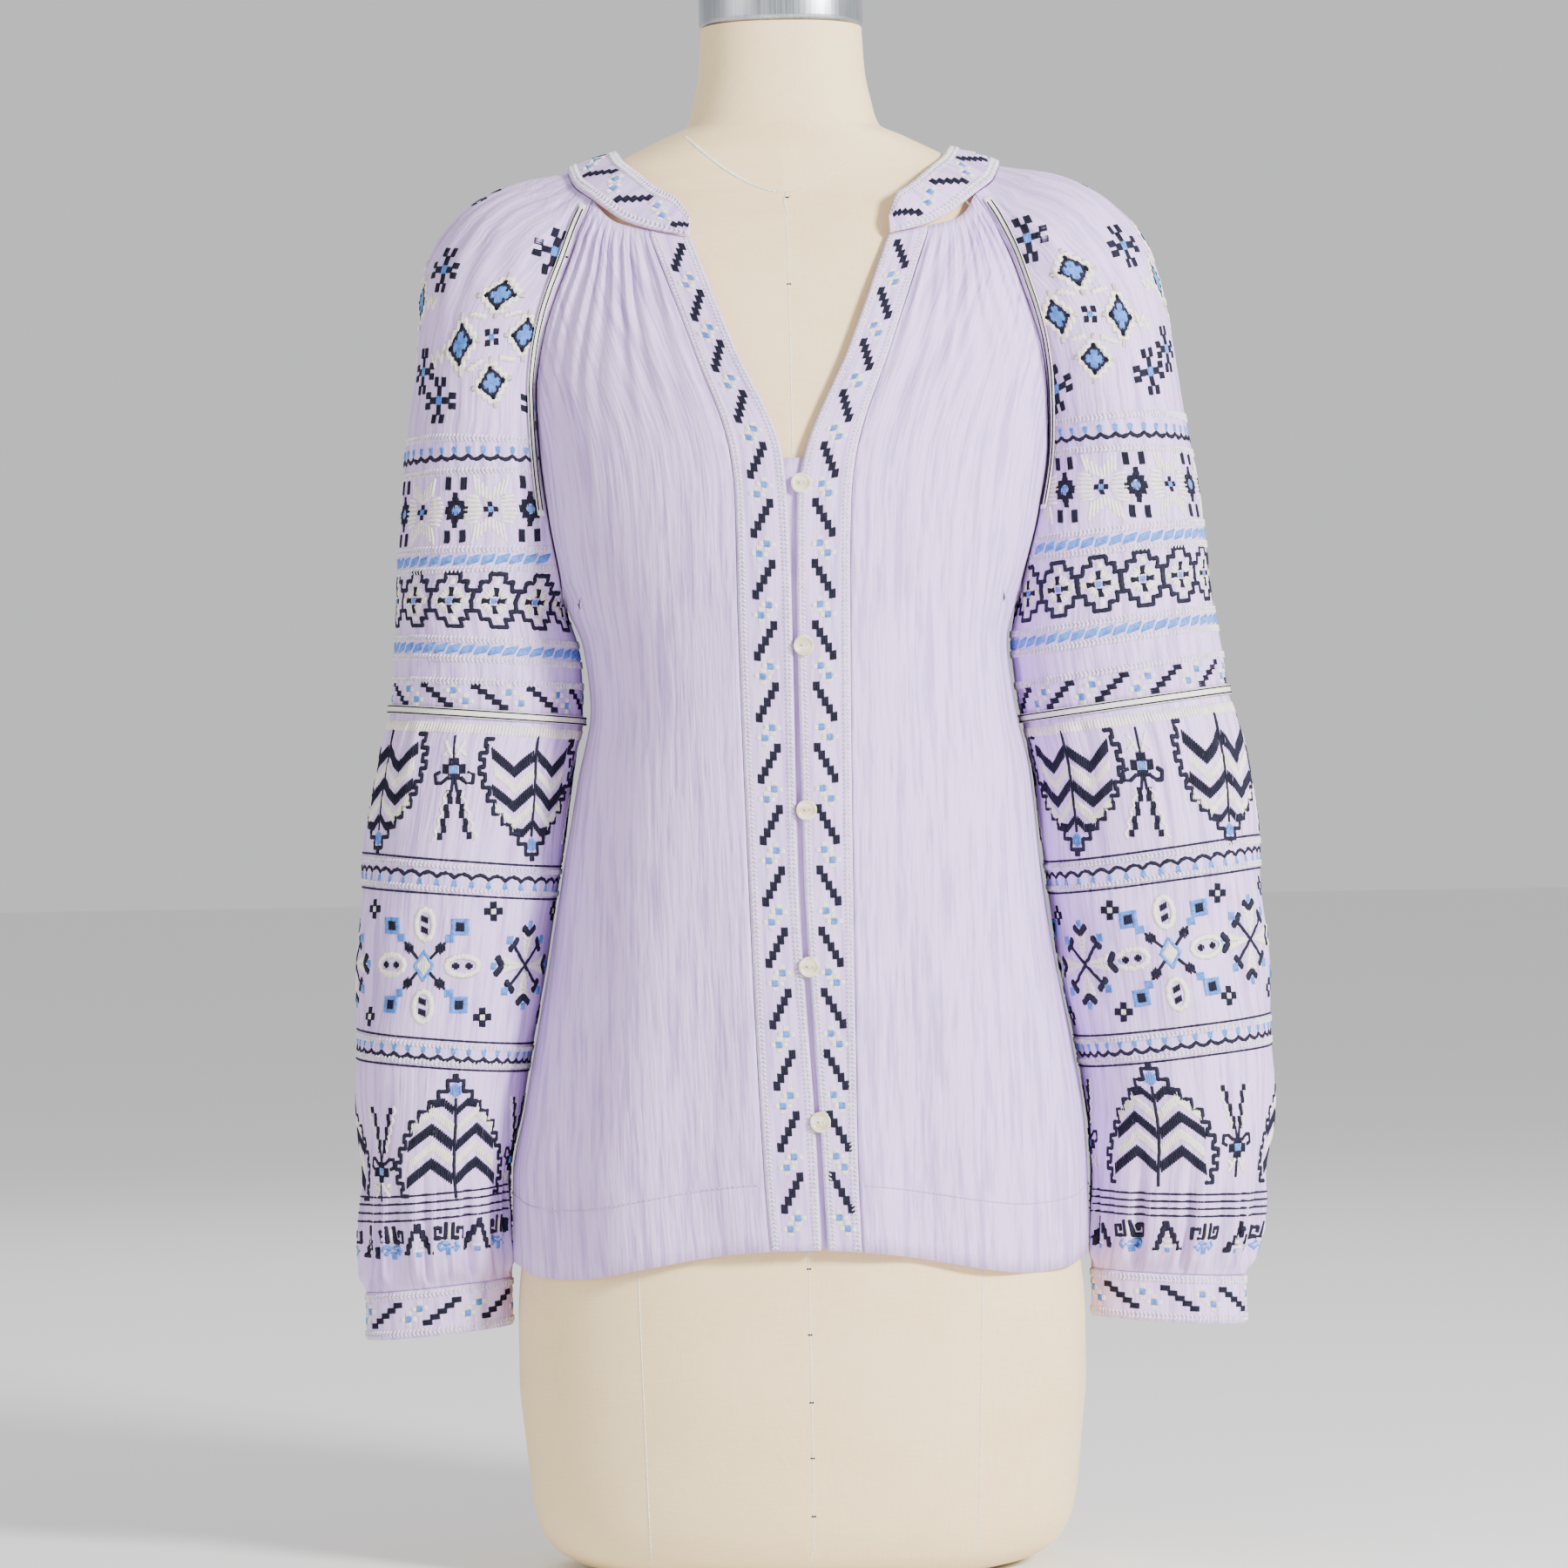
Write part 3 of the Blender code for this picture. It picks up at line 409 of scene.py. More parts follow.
@dataclass
class Face:
    """A cloth face, given by a grid of points, that trims and stitches are laid on.

    Rows lie at levels and each point of a row at its own distance across, both in metres.

    Args:
        grid: The points.
        levels: Each row's level.
        across: Each point's distance across.
        flipped: Whether the normals, which follow from the points' order, are turned round.
        slanting: Whether drawings are kept upright although the rows slope.
    """

    grid: Point
    levels: Array
    across: Array
    flipped: bool = False
    slanting: bool = False
    normals: Point = field(init=False)

    def __post_init__(self) -> None:
        self.normals = grid_normals(self.grid) * (-1 if self.flipped else 1)
        columns = np.arange(self.across.shape[1])
        self._inverse = np.array(
            [np.interp(np.linspace(row[0], row[-1], SAMPLES), row, columns) for row in self.across]
        )

    def span(self, level: float) -> Spot:
        """The lowest and highest distance across at a level."""
        ends = [float(np.interp(level, self.levels, self.across[:, i])) for i in (0, -1)]
        return ends[0], ends[1]

    def point(self, across: Array, level: Array, lift: Array) -> Point:
        """Points on or over the face.

        Args:
            across: Distances across.
            level: Distances along.
            lift: Heights over the face.

        Returns:
            Points, with nan where they lie off the face.
        """
        row = np.interp(level, self.levels, np.arange(len(self.levels)))
        i = np.clip(row.astype(int), 0, len(self.levels) - 2)
        t = (row - i)[..., None]
        found, leaning = [], []
        off = (level < self.levels[0] - 1e-9) | (level > self.levels[-1] + 1e-9)
        for r in (i, i + 1):
            low, high = self.across[r, 0], self.across[r, -1]
            share = (across - low) / (high - low)
            off = off | (share < 0) | (share > 1)
            k = np.clip(share, 0, 1) * (SAMPLES - 1)
            j = np.clip(k.astype(int), 0, SAMPLES - 2)
            f = k - j
            column = self._inverse[r, j] * (1 - f) + self._inverse[r, j + 1] * f
            c = np.clip(column.astype(int), 0, self.grid.shape[1] - 2)
            g = (column - c)[..., None]
            found.append(self.grid[r, c] * (1 - g) + self.grid[r, c + 1] * g)
            leaning.append(self.normals[r, c] * (1 - g) + self.normals[r, c + 1] * g)
        place = found[0] * (1 - t) + found[1] * t
        normal = leaning[0] * (1 - t) + leaning[1] * t
        length = np.maximum(np.linalg.norm(normal, axis=-1, keepdims=True), 1e-12)
        place = place + normal / length * np.asarray(lift)[..., None]
        place[off] = np.nan
        return place

    def upright(self, across: float, level: float) -> Array:
        """A matrix from metres to the side and up, on the upright cloth, to across and along."""
        if not self.slanting:
            return np.eye(2)
        step = 0.008
        low, high = self.span(level)
        across = min(max(across, low + step), high - step)
        level = min(max(level, self.levels[0] + step), self.levels[-1] - step)
        a = np.array([across - step, across + step, across, across])
        b = np.array([level, level, level - step, level + step])
        ends = self.point(a, b, np.zeros(4))
        if np.isnan(ends).any():
            return np.eye(2)
        side, rise = (ends[1] - ends[0]) / (2 * step), (ends[3] - ends[2]) / (2 * step)
        normal = np.cross(side, rise)
        normal /= np.linalg.norm(normal)
        up = np.array((0.0, 0.0, 1.0)) - normal * normal[2]
        up /= np.linalg.norm(up)
        right = np.cross(up, normal)
        basis = np.array([[side @ right, rise @ right], [side @ up, rise @ up]])
        return np.linalg.inv(basis)

    def stretch(self, across: float, level: float) -> float:
        """How many metres of cloth one metre of level is, near a place."""
        step = 0.004
        a = np.array([across, across])
        b = np.array([level - step / 2, level + step / 2])
        ends = self.point(a, np.clip(b, self.levels[0], self.levels[-1]), np.zeros(2))
        gap = float(np.linalg.norm(ends[1] - ends[0])) / step
        return gap if gap == gap and gap > 0.2 else 1.0


def run_along(points: Point, axis: int) -> Array:
    """Distances along a grid's rows or columns, starting at 0."""
    gaps = np.linalg.norm(np.diff(points, axis=axis), axis=2)
    zero = np.zeros_like(np.take(gaps, [0], axis=axis))
    return np.concatenate((zero, np.cumsum(gaps, axis=axis)), axis=axis)


# Materials


class Shade:
    """A shader value that takes part in ordinary arithmetic."""

    def __init__(self, sheet: "NodeSheet", socket: bpy.types.NodeSocket) -> None:
        self.sheet = sheet
        self.socket = socket

    def __add__(self, other: "Shade | float") -> "Shade":
        return self.sheet.math("ADD", self, other)

    __radd__ = __add__

    def __mul__(self, other: "Shade | float") -> "Shade":
        return self.sheet.math("MULTIPLY", self, other)

    __rmul__ = __mul__

    def sine(self) -> "Shade":
        """The sine of this value."""
        return self.sheet.math("SINE", self)

    def between(self, low: float, high: float) -> "Shade":
        """0 below low, 1 above high, smooth between."""
        values = {"Value": self, "From Min": low, "From Max": high}
        made = self.sheet.node("ShaderNodeMapRange", values, interpolation_type="SMOOTHSTEP")
        return Shade(self.sheet, made.outputs["Result"])


class NodeSheet:
    """One material's nodes."""

    def __init__(self, name: str) -> None:
        self.material = bpy.data.materials.new(name)
        self.material.use_nodes = True
        self.tree = self.material.node_tree
        self.shader = self.tree.nodes["Principled BSDF"]

    def node(self, kind: str, inputs: dict[str | int, object], **settings: object) -> bpy.types.Node:
        """Makes a node; inputs go to its sockets by name or number, settings to its properties."""
        made = self.tree.nodes.new(kind)
        for key, value in settings.items():
            setattr(made, key, value)
        self.feed(made, inputs)
        return made

    def feed(self, node: bpy.types.Node, inputs: dict[str | int, object]) -> None:
        """Joins shader values to a node's sockets and sets constants straight on them."""
        for key, value in inputs.items():
            if isinstance(value, Shade):
                self.tree.links.new(value.socket, node.inputs[key])
            else:
                node.inputs[key].default_value = value

    def math(self, kind: str, *values: "Shade | float") -> Shade:
        """One sum of shader values and numbers."""
        made = self.node("ShaderNodeMath", dict(enumerate(values)), operation=kind)
        return Shade(self, made.outputs[0])

    def coordinates(self, source: str) -> tuple[Shade, Shade, Shade]:
        """The three parts of the object's own or UV coordinates."""
        base = self.node("ShaderNodeTexCoord", {})
        split = self.node("ShaderNodeSeparateXYZ", {0: Shade(self, base.outputs[source])})
        return tuple(Shade(self, part) for part in split.outputs)

    def noise(self, x: Shade, y: Shade, z: "Shade | float", detail: float = 2.0) -> Shade:
        """Noise at a place whose parts are already scaled."""
        place = self.node("ShaderNodeCombineXYZ", {"X": x, "Y": y, "Z": z})
        vector = Shade(self, place.outputs[0])
        made = self.node("ShaderNodeTexNoise", {"Vector": vector, "Scale": 1.0, "Detail": detail})
        return Shade(self, made.outputs["Fac"])

    def mix(self, share: Shade, low: Colour, high: Colour) -> Shade:
        """A colour between two."""
        ends = {0: share, 6: (*low, 1.0), 7: (*high, 1.0)}
        return Shade(self, self.node("ShaderNodeMix", ends, data_type="RGBA").outputs[2])

    def bump(self, height: Shade, depth: float, strength: float) -> None:
        """Raises the surface's look by a height from 0 to 1."""
        values = {"Height": height, "Strength": strength, "Distance": depth}
        made = self.node("ShaderNodeBump", values)
        self.surface(Normal=Shade(self, made.outputs["Normal"]))

    def surface(self, **values: "Shade | float") -> None:
        """Feeds the shader; a name's underscores stand for spaces."""
        self.feed(self.shader, {name.replace("_", " "): value for name, value in values.items()})


@dataclass(frozen=True)
class Finish:
    """A material that varies between two colours."""

    name: str
    light: Colour
    dark: Colour

    def material(self) -> bpy.types.Material:
        """Builds the material."""
        sheet = NodeSheet(self.name)
        sheet.surface(Base_Color=sheet.mix(self.shade(sheet), self.dark, self.light))
        return sheet.material

    def shade(self, sheet: NodeSheet) -> Shade:
        """Sets up the surface and says how light each place of it is."""
        raise NotImplementedError


@dataclass(frozen=True)
class Gauze(Finish):
    """Crinkled double gauze: upright crinkles with painted shade in their valleys, a fine weave and a soft
    nap.
    """

    light: Colour = (0.765, 0.570, 0.975)
    # The dark colour is painted shade for the crinkle valleys.
    dark: Colour = (0.535, 0.375, 0.745)
    crinkle_depth: float = 0.0024
    thread_pitch: float = 0.00052

    def shade(self, sheet: NodeSheet) -> Shade:
        """Broad and fine crinkles over the weave, with painted shade darkening their valleys; the pieces'
        UV is in metres.
        """
        u, v, _ = sheet.coordinates("UV")
        drift = sheet.noise(u * 22, v * 9, 0.3) * 3
        broad = sheet.noise(u * 210, v * 13, drift, 3.0)
        fine = sheet.noise(u * 560, v * 38, drift)
        waver = sheet.noise(u * 40, v * 40, 1.7) * 4
        thread = 2 * HALF_TURN / self.thread_pitch
        weave = ((u * thread + waver).sine() + (v * thread + waver).sine()) * 0.25 + 0.5
        height = broad * 0.62 + fine * 0.33 + weave * 0.05
        sheet.bump(height, self.crinkle_depth, 0.9)
        sheet.surface(Roughness=0.88, Sheen_Weight=0.12, Sheen_Roughness=0.5)
        # Painted shade: the low places of the crinkles take the dark colour.
        return height.between(0.36, 0.56)


@dataclass(frozen=True)
class Thread(Finish):
    """Embroidery thread: strands with a soft lustre, a little uneven in colour."""

    roughness: float = 0.55
    sheen: float = 0.15

    def shade(self, sheet: NodeSheet) -> Shade:
        """Patches and strands, from object coordinates."""
        x, y, z = sheet.coordinates("Object")
        patch = sheet.noise(x * 420, y * 420, z * 420)
        strands = sheet.noise(x * 2400, y * 2400, z * 2400, 1.0)
        sheet.bump(strands, 0.00025, 0.6)
        sheet.surface(Roughness=self.roughness, Sheen_Weight=self.sheen, Specular_IOR_Level=0.3)
        return (patch * 0.6 + strands * 0.4).between(0.35, 0.62)


@dataclass(frozen=True)
class Linen(Finish):
    """Plain cream cloth stretched over the form: a close weave with slubs."""

    light: Colour = (0.995, 0.780, 0.435)
    dark: Colour = (0.925, 0.695, 0.365)
    thread_pitch: float = 0.0009

    def shade(self, sheet: NodeSheet) -> Shade:
        """Slubs both ways over the weave; the piece's UV is in metres."""
        u, v, _ = sheet.coordinates("UV")
        slub = sheet.noise(u * 900, v * 70, 0.0) * 0.5 + sheet.noise(u * 70, v * 900, 2.0) * 0.5
        thread = 2 * HALF_TURN / self.thread_pitch
        weave = (u * thread).sine() * (v * thread).sine() * 0.5 + 0.5
        patch = sheet.noise(u * 12, v * 12, 4.0)
        sheet.bump(slub * 0.6 + weave * 0.4, 0.0004, 0.35)
        sheet.surface(Roughness=0.86, Sheen_Weight=0.1)
        return (slub * 0.6 + patch * 0.4).between(0.34, 0.6)


@dataclass(frozen=True)
class BrushedSteel(Finish):
    """Steel brushed lengthways."""

    light: Colour = (0.62, 0.65, 0.69)
    dark: Colour = (0.36, 0.39, 0.43)

    def shade(self, sheet: NodeSheet) -> Shade:
        """Brush marks and clouds, from object coordinates."""
        x, y, z = sheet.coordinates("Object")
        brush = sheet.noise(x * 1500, y * 1500, z * 18, 3.0)
        cloud = sheet.noise(x * 45, y * 45, z * 20)
        sheet.bump(brush, 0.0001, 0.25)
        sheet.surface(Roughness=brush * 0.25 + 0.22, Metallic=1.0)
        return (brush * 0.5 + cloud * 0.5).between(0.3, 0.66)


@dataclass(frozen=True)
class Shell(Finish):
    """Shell buttons with a cloudy lustre."""

    light: Colour = (0.88, 0.80, 0.62)
    dark: Colour = (0.70, 0.58, 0.36)

    def shade(self, sheet: NodeSheet) -> Shade:
        """Warped layers, from object coordinates."""
        x, y, z = sheet.coordinates("Object")
        warp = sheet.noise(x * 160, y * 160, z * 160) * 5
        layers = (z * 900 + warp).sine() * 0.5 + 0.5
        sheet.surface(Roughness=layers * 0.12 + 0.26, Coat_Weight=0.3, Coat_Roughness=0.15)
        return layers


@dataclass(frozen=True)
class Floor(Finish):
    """Pale, even studio floor."""

    light: Colour = (0.90, 0.89, 0.875)
    dark: Colour = (0.885, 0.875, 0.86)

    def shade(self, sheet: NodeSheet) -> Shade:
        """Faint clouds, from object coordinates."""
        x, y, _ = sheet.coordinates("Object")
        sheet.surface(Roughness=0.9)
        return sheet.noise(x * 2.5, y * 2.5, 0.0, 4.0)


class Yarn(Enum):
    """The threads, in the order of a stitched piece's material slots."""

    NAVY = 0
    BLUE = 1
    IVORY = 2
    BRAID = 3
    SEWING = 4


NAVY, BLUE, IVORY, BRAID, SEWING = Yarn
THREADS = {
    NAVY: Thread("navy_thread", (0.011, 0.011, 0.032), (0.004, 0.004, 0.013), 0.75, 0.0),
    BLUE: Thread("blue_thread", (0.130, 0.330, 0.830), (0.050, 0.170, 0.580)),
    IVORY: Thread("ivory_thread", (0.960, 0.925, 0.830), (0.800, 0.745, 0.630), 0.7),
    BRAID: Thread("white_braid", (0.950, 0.930, 0.960), (0.640, 0.600, 0.690), 0.65),
    SEWING: Thread("lilac_sewing", (0.700, 0.640, 0.780), (0.520, 0.460, 0.620), 0.8),
}
TAPE = Thread("ivory_cotton_tape", (0.900, 0.870, 0.790), (0.780, 0.740, 0.650), 0.85, 0.2)


class Kit:
    """The finishes in use, made once."""

    def __init__(self) -> None:
        self.gauze = Gauze("lilac_double_gauze").material()
        self.firm_gauze = Gauze("lilac_gauze_band", crinkle_depth=0.0006).material()
        self.linen = Linen("form_linen_cover").material()
        self.steel = BrushedSteel("brushed_cap_steel").material()
        self.shell = Shell("cream_shell").material()
        self.tape = TAPE.material()
        self.threads = [THREADS[yarn].material() for yarn in Yarn]


# Pieces


def new_object(name: str, mesh: bpy.types.Mesh, *materials: bpy.types.Material) -> bpy.types.Object:
    """Puts a mesh in the scene."""
    made = bpy.data.objects.new(name, mesh)
    for finish in materials:
        mesh.materials.append(finish)
    bpy.context.scene.collection.objects.link(made)
    return made


def select_only(made: bpy.types.Object) -> None:
    """Makes one object the only one selected, and active."""
    bpy.ops.object.select_all(action="DESELECT")
    made.select_set(True)
    bpy.context.view_layer.objects.active = made


def mesh_from(name: str, points: Point, faces: Array) -> bpy.types.Mesh:
    """A smooth mesh from points in the tables' frame and quads or triangles."""
    mesh = bpy.data.meshes.new(name)
    mesh.from_pydata((points.reshape(-1, 3) + FRAME_SHIFT).tolist(), [], faces.tolist())
    mesh.shade_smooth()
    return mesh


def grid_faces(rows: int, columns: int, closed: bool) -> Array:
    """The quads of a grid whose rows may close into rings."""
    i, j = lattice(np.arange(rows - 1), np.arange(columns if closed else columns - 1))
    k = (j + 1) % columns
    quads = np.stack(
        (i * columns + j, i * columns + k, (i + 1) * columns + k, (i + 1) * columns + j), axis=-1
    )
    return quads.reshape(-1, 4)


def lay_uv(mesh: bpy.types.Mesh, flat: Array) -> None:
    """Gives a grid's mesh its flat coordinates; flat has a column more than a closed grid."""
    i, j = lattice(np.arange(flat.shape[0] - 1), np.arange(flat.shape[1] - 1))
    corners = [flat[i, j], flat[i, j + 1], flat[i + 1, j + 1], flat[i + 1, j]]
    values = np.stack(corners, axis=2).reshape(-1)
    layer = mesh.uv_layers.new(name="flat")
    layer.data.foreach_set("uv", values.astype(np.float32))


def apply_modifier(made: bpy.types.Object, kind: str, **settings: object) -> None:
    """Changes a piece's mesh by one modifier."""
    modifier = made.modifiers.new(kind.lower(), kind)
    for key, value in settings.items():
        setattr(modifier, key, value)
    select_only(made)
    bpy.ops.object.modifier_apply(modifier=modifier.name)


@dataclass
class Cloth:
    """One cut piece of cloth, with its face for trims.

    Args:
        name: The piece's name.
        face: Its outer face; the normals must point out.
        wall: Its thickness, which lies inwards.
        closed: Whether each row closes into a ring, its last point on its first.
    """

    name: str
    face: Face
    wall: float
    closed: bool = False

    def build(self, finish: bpy.types.Material, slot: str, node: str) -> bpy.types.Object:
        """Makes the piece and lets it stand for its node."""
        grid = self.face.grid[:, :-1] if self.closed else self.face.grid
        rows, columns = grid.shape[:2]
        flat = np.broadcast_arrays(self.face.across, self.face.levels[:, None])
        mesh = mesh_from(self.name, grid, grid_faces(rows, columns, self.closed))
        lay_uv(mesh, np.stack(flat, axis=-1))
        if self.face.flipped:
            mesh.flip_normals()
        made = new_object(self.name, mesh, finish)
        apply_modifier(made, "SOLIDIFY", thickness=self.wall, offset=-1.0)
        keep(made, slot, node)
        return made

    def cut(self) -> tuple[tuple[float, float], float]:
        """The flat size that the piece is cut to, and its area."""
        grid = self.face.grid
        width = float(run_along(grid, 1)[:, -1].max())
        length = float(run_along(grid, 0)[-1].max())
        a = grid[1:, 1:] - grid[:-1, :-1]
        b = grid[1:, :-1] - grid[:-1, 1:]
        area = float(np.linalg.norm(np.cross(a, b), axis=2).sum() / 2)
        return (width, length), min(area, width * length)


def keep(made: bpy.types.Object, slot: str, *nodes: str) -> None:
    """Ties a piece to the frame, hides the parts it stands for and logs it."""
    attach(made, "root")
    if nodes:
        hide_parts(*nodes)
    made.data.calc_loop_triangles()
    LOG.info("%s: %d triangles", made.name, len(made.data.loop_triangles))


# Stitches


@dataclass
class Stitches:
    """Stitches laid on one face, each a low closed ridge with pointed ends."""

    face: Face
    rows: list[tuple[float, ...]] = field(default_factory=list)

    def stitch(self, start: Spot, end: Spot, width: float, yarn: Yarn, height: float = 0.55 * MM) -> None:
        """One stitch between two places (across, level), in metres."""
        self.rows.append((*start, *end, width, height, yarn.value))

    def path(
        self, places: Sequence[Spot], width: float, yarn: Yarn,
        step: float = 3.4 * MM, height: float = 0.6 * MM,
    ) -> None:
        """Stitches end to end through places, each running a little under the next."""
        for (a, b), (c, d) in zip(places[:-1], places[1:]):
            length = math.hypot(c - a, d - b)
            count = max(1, round(length / step))
            over = 0.35 * width / max(length, 1e-9)
            for k in range(count):
                low, high = k / count - over, (k + 1) / count + over
                start = (a + (c - a) * low, b + (d - b) * low)
                end = (a + (c - a) * high, b + (d - b) * high)
                self.stitch(start, end, width, yarn, height)

    def build(self, name: str, kit: Kit, slot: str) -> bpy.types.Object:
        """Makes one mesh of all the stitches that lie wholly on the face."""
        data = np.array(self.rows)
        points, faces, slots, offset = [], [], [], 0
        long = np.hypot(data[:, 2] - data[:, 0], data[:, 3] - data[:, 1]) > LONG_STITCH
        for chosen, stops in ((data[~long], SHORT_STOPS), (data[long], LONG_STOPS)):
            if not len(chosen):
                continue
            made = self._ridges(chosen, stops)
            good = ~np.isnan(made).any(axis=(1, 2))
            made, chosen = made[good], chosen[good]
            pattern = self._pattern(len(stops))
            start = offset + np.arange(len(made))[:, None, None] * made.shape[1]
            faces.append((pattern[None] + start).reshape(-1, 3))
            points.append(made.reshape(-1, 3))
            slots.append(np.repeat(chosen[:, 6].astype(int), len(pattern)))
            offset += made.shape[0] * made.shape[1]
        mesh = mesh_from(name, np.concatenate(points), np.concatenate(faces))
        worked = new_object(name, mesh, *kit.threads)
        mesh.polygons.foreach_set("material_index", np.concatenate(slots))
        keep(worked, slot)
        return worked

    def _ridges(self, rows: Array, stops: Sequence[float]) -> Point:
        """The points of each stitch: a pole, rings of left, top and right, and a pole."""
        start, end, width = rows[:, 0:2], rows[:, 2:4], rows[:, 4:5]
        along = end - start
        length = np.maximum(np.linalg.norm(along, axis=1, keepdims=True), 1e-9)
        side = np.stack((-along[:, 1], along[:, 0]), axis=1) / length
        pole, edge = np.full(len(rows), POLE_LIFT), np.full(len(rows), EDGE_LIFT)
        places, lifts = [start], [pole]
        for stop in stops:
            places += [start + along * stop + side * width * across for across in (0.5, 0.0, -0.5)]
            lifts += [edge, rows[:, 5], edge]
        place = np.stack((*places, end), axis=1)
        lift = np.stack((*lifts, pole), axis=1)
        found = self.face.point(place[..., 0].ravel(), place[..., 1].ravel(), lift.ravel())
        return found.reshape(*place.shape[:2], 3)

    def _pattern(self, rings: int) -> Array:
        """The triangles of one stitch."""
        last = 1 + 3 * rings
        made = []
        for k in range(3):
            j = (k + 1) % 3
            made += [(0, 1 + k, 1 + j), (last, last - 3 + j, last - 3 + k)]
            for ring in range(rings - 1):
                a, b = 1 + 3 * ring + k, 1 + 3 * ring + j
                made += [(a, a + 3, b + 3), (a, b + 3, b)]
        pattern = np.array(made)
        return pattern if self.face.flipped else pattern[:, ::-1]


# The blouse's faces


PANEL_LEVELS = (0.0, 0.09, 0.18, 0.27, 0.35, 0.42, 0.475, 0.53, 0.58, 0.63)
PANEL_LEVELS += (0.70, 0.78, 0.86, 0.92, 0.965, 1.0)


def dense(stops: Sequence[float], rows: int) -> Array:
    """More rows between a few stops, evenly by their number."""
    return np.interp(np.linspace(0, len(stops) - 1, rows), np.arange(len(stops)), stops)


def neck_folds(across: Array, from_top: Array, count: float, depth: float) -> Array:
    """Folds that open out below the neck band and die away over the bust."""
    open_out = fade(from_top, 0.0, 0.016) * (1 - fade(from_top, 0.035, 0.170))
    drift = across + 0.012 * np.sin(across * 21) + 0.010 * np.sin(from_top * 60 + across * 9)
    broad = gathers(drift * count)
    narrow = gathers(drift * count * 2.37 + 0.3, 1.4) * (1 - fade(from_top, 0.010, 0.075))
    return depth * open_out * (0.68 * broad + 0.32 * narrow)


def hanging_folds(across: Array, height: Array, count: float, shift: float) -> Array:
    """Soft folds that hang to the hem."""
    low = 1 - fade(height, 0.22, 0.52)
    wave = gathers(count * across + shift + 0.05 * np.sin(height * 22))
    edges = fade(across, 0.0, 0.15) * (1 - fade(across, 0.75, 0.95))
    return -HEM_FOLD_DEPTH * low * wave * edges


def crinkle(points: Point, across: Array, along: Array, seed: float) -> Array:
    """Small upright crinkles in metres; they die out at a piece's edges."""
    rows, columns = points.shape[:2]
    i = np.minimum(np.arange(rows), np.arange(rows)[::-1])[:, None] / 4
    j = np.minimum(np.arange(columns), np.arange(columns)[::-1])[None] / 4
    edge = np.clip(np.minimum(i, j), 0, 1)
    return CRINKLE_HEIGHT * edge * ripple(across, along, seed)


def settle(face_points: Point, across: Array, levels: Array, seed: float) -> Point:
    """Adds the crinkles along a grid's own normals."""
    along = np.broadcast_to(levels[:, None], across.shape)
    height = crinkle(face_points, across, along, seed)
    return face_points + grid_normals(face_points) * height[..., None]


def neck_pull(side: Side, top: Point, turn: Array, from_top: Array) -> Point:
    """How far a panel's points move to meet the neck band; turn is where the bare body has top."""
    share = 1 - fade(from_top, 0.0, NECK_BLEND)
    return (top - body_point(side, top[..., 2], turn)) * share[..., None]


def front_face(side: Side, rows: int = 76, columns: int = 112) -> Face:
    """The front panel, from the embroidered strip's outer edge to the raglan seam."""
    strip = PLACKETS[side]
    first, last = STRIP_TOP_PLACE + NECK_GAP_PLACE, RAGLAN_FRONT_PLACE - NECK_GAP_PLACE
    low_turn = turn_at(side, HEM_SIDE, strip.at("outer", HEM_SIDE))
    level, across = lattice(dense(PANEL_LEVELS, rows), np.linspace(0, 1, columns))
    top = band_point(side, first + (last - first) * across, "outer")
    low = hem_height(low_turn + (HALF_TURN / 2 - low_turn) * across)
    height = low + (top[..., 2] - low) * level
    inner = turn_at(side, height, strip.at("outer", height) + side.value * SEAM_GAP)
    seam = side.value * (SLEEVES[side].at("seam_x", height) - SEAM_GAP)
    outer = np.where(height > ARMPIT_HEIGHT, turn_at(side, height, seam), HALF_TURN / 2 - 0.003)
    turn = inner + (outer - inner) * across
    from_top = top[..., 2] - height
    fold = neck_folds(across, from_top, 8, FRONT_FOLD_DEPTH) + hanging_folds(across, height, 2.5, 0.2)
    pull = neck_pull(side, top, turn_at(side, top[..., 2], top[..., 0]), from_top)
    grid = body_point(side, height, turn, fold) + pull
    plain = body_point(side, height, turn) + pull
    levels = run_along(plain, 0)[:, columns // 2]
    widths = run_along(plain, 1)
    grid = settle(grid, widths, levels, 1.0 + side.value)
    return Face(grid, levels, widths, side is Side.LEFT)


def back_face(rows: int = 70, columns: int = 150) -> Face:
    """The back panel, from the right side seam across to the left one."""
    first = RAGLAN_BACK_PLACE + NECK_GAP_PLACE
    level, across = lattice(dense(PANEL_LEVELS, rows), np.linspace(0, 1, columns))
    inward = 1 - np.abs(2 * across - 1)
    halves = []
    for side in (Side.RIGHT, Side.LEFT):
        top = band_point(side, first + (1 - first) * inward, "outer")
        height = HEM_SIDE + (top[..., 2] - HEM_SIDE) * level
        seam = turn_at(side, height, side.value * (SLEEVES[side].at("seam_x", height) - SEAM_GAP))
        start = np.where(height > ARMPIT_HEIGHT, HALF_TURN - seam, HALF_TURN / 2 + 0.003)
        turn = start + (HALF_TURN - start) * inward
        from_top = top[..., 2] - height
        fold = neck_folds(across, from_top, 8, BACK_FOLD_DEPTH) + hanging_folds(across, height, 4, 0.1)
        edge_turn = HALF_TURN - turn_at(side, top[..., 2], top[..., 0])
        pull = neck_pull(side, top, edge_turn, from_top)
        halves.append(body_point(side, height, turn, fold) + pull)
    grid = np.where((across < 0.5)[..., None], halves[0], halves[1])
    levels = run_along(grid, 0)[:, columns // 2]
    widths = run_along(grid, 1)
    widths = widths - widths[:, -1:] / 2
    return Face(settle(grid, widths, levels, 4.0), levels, widths)


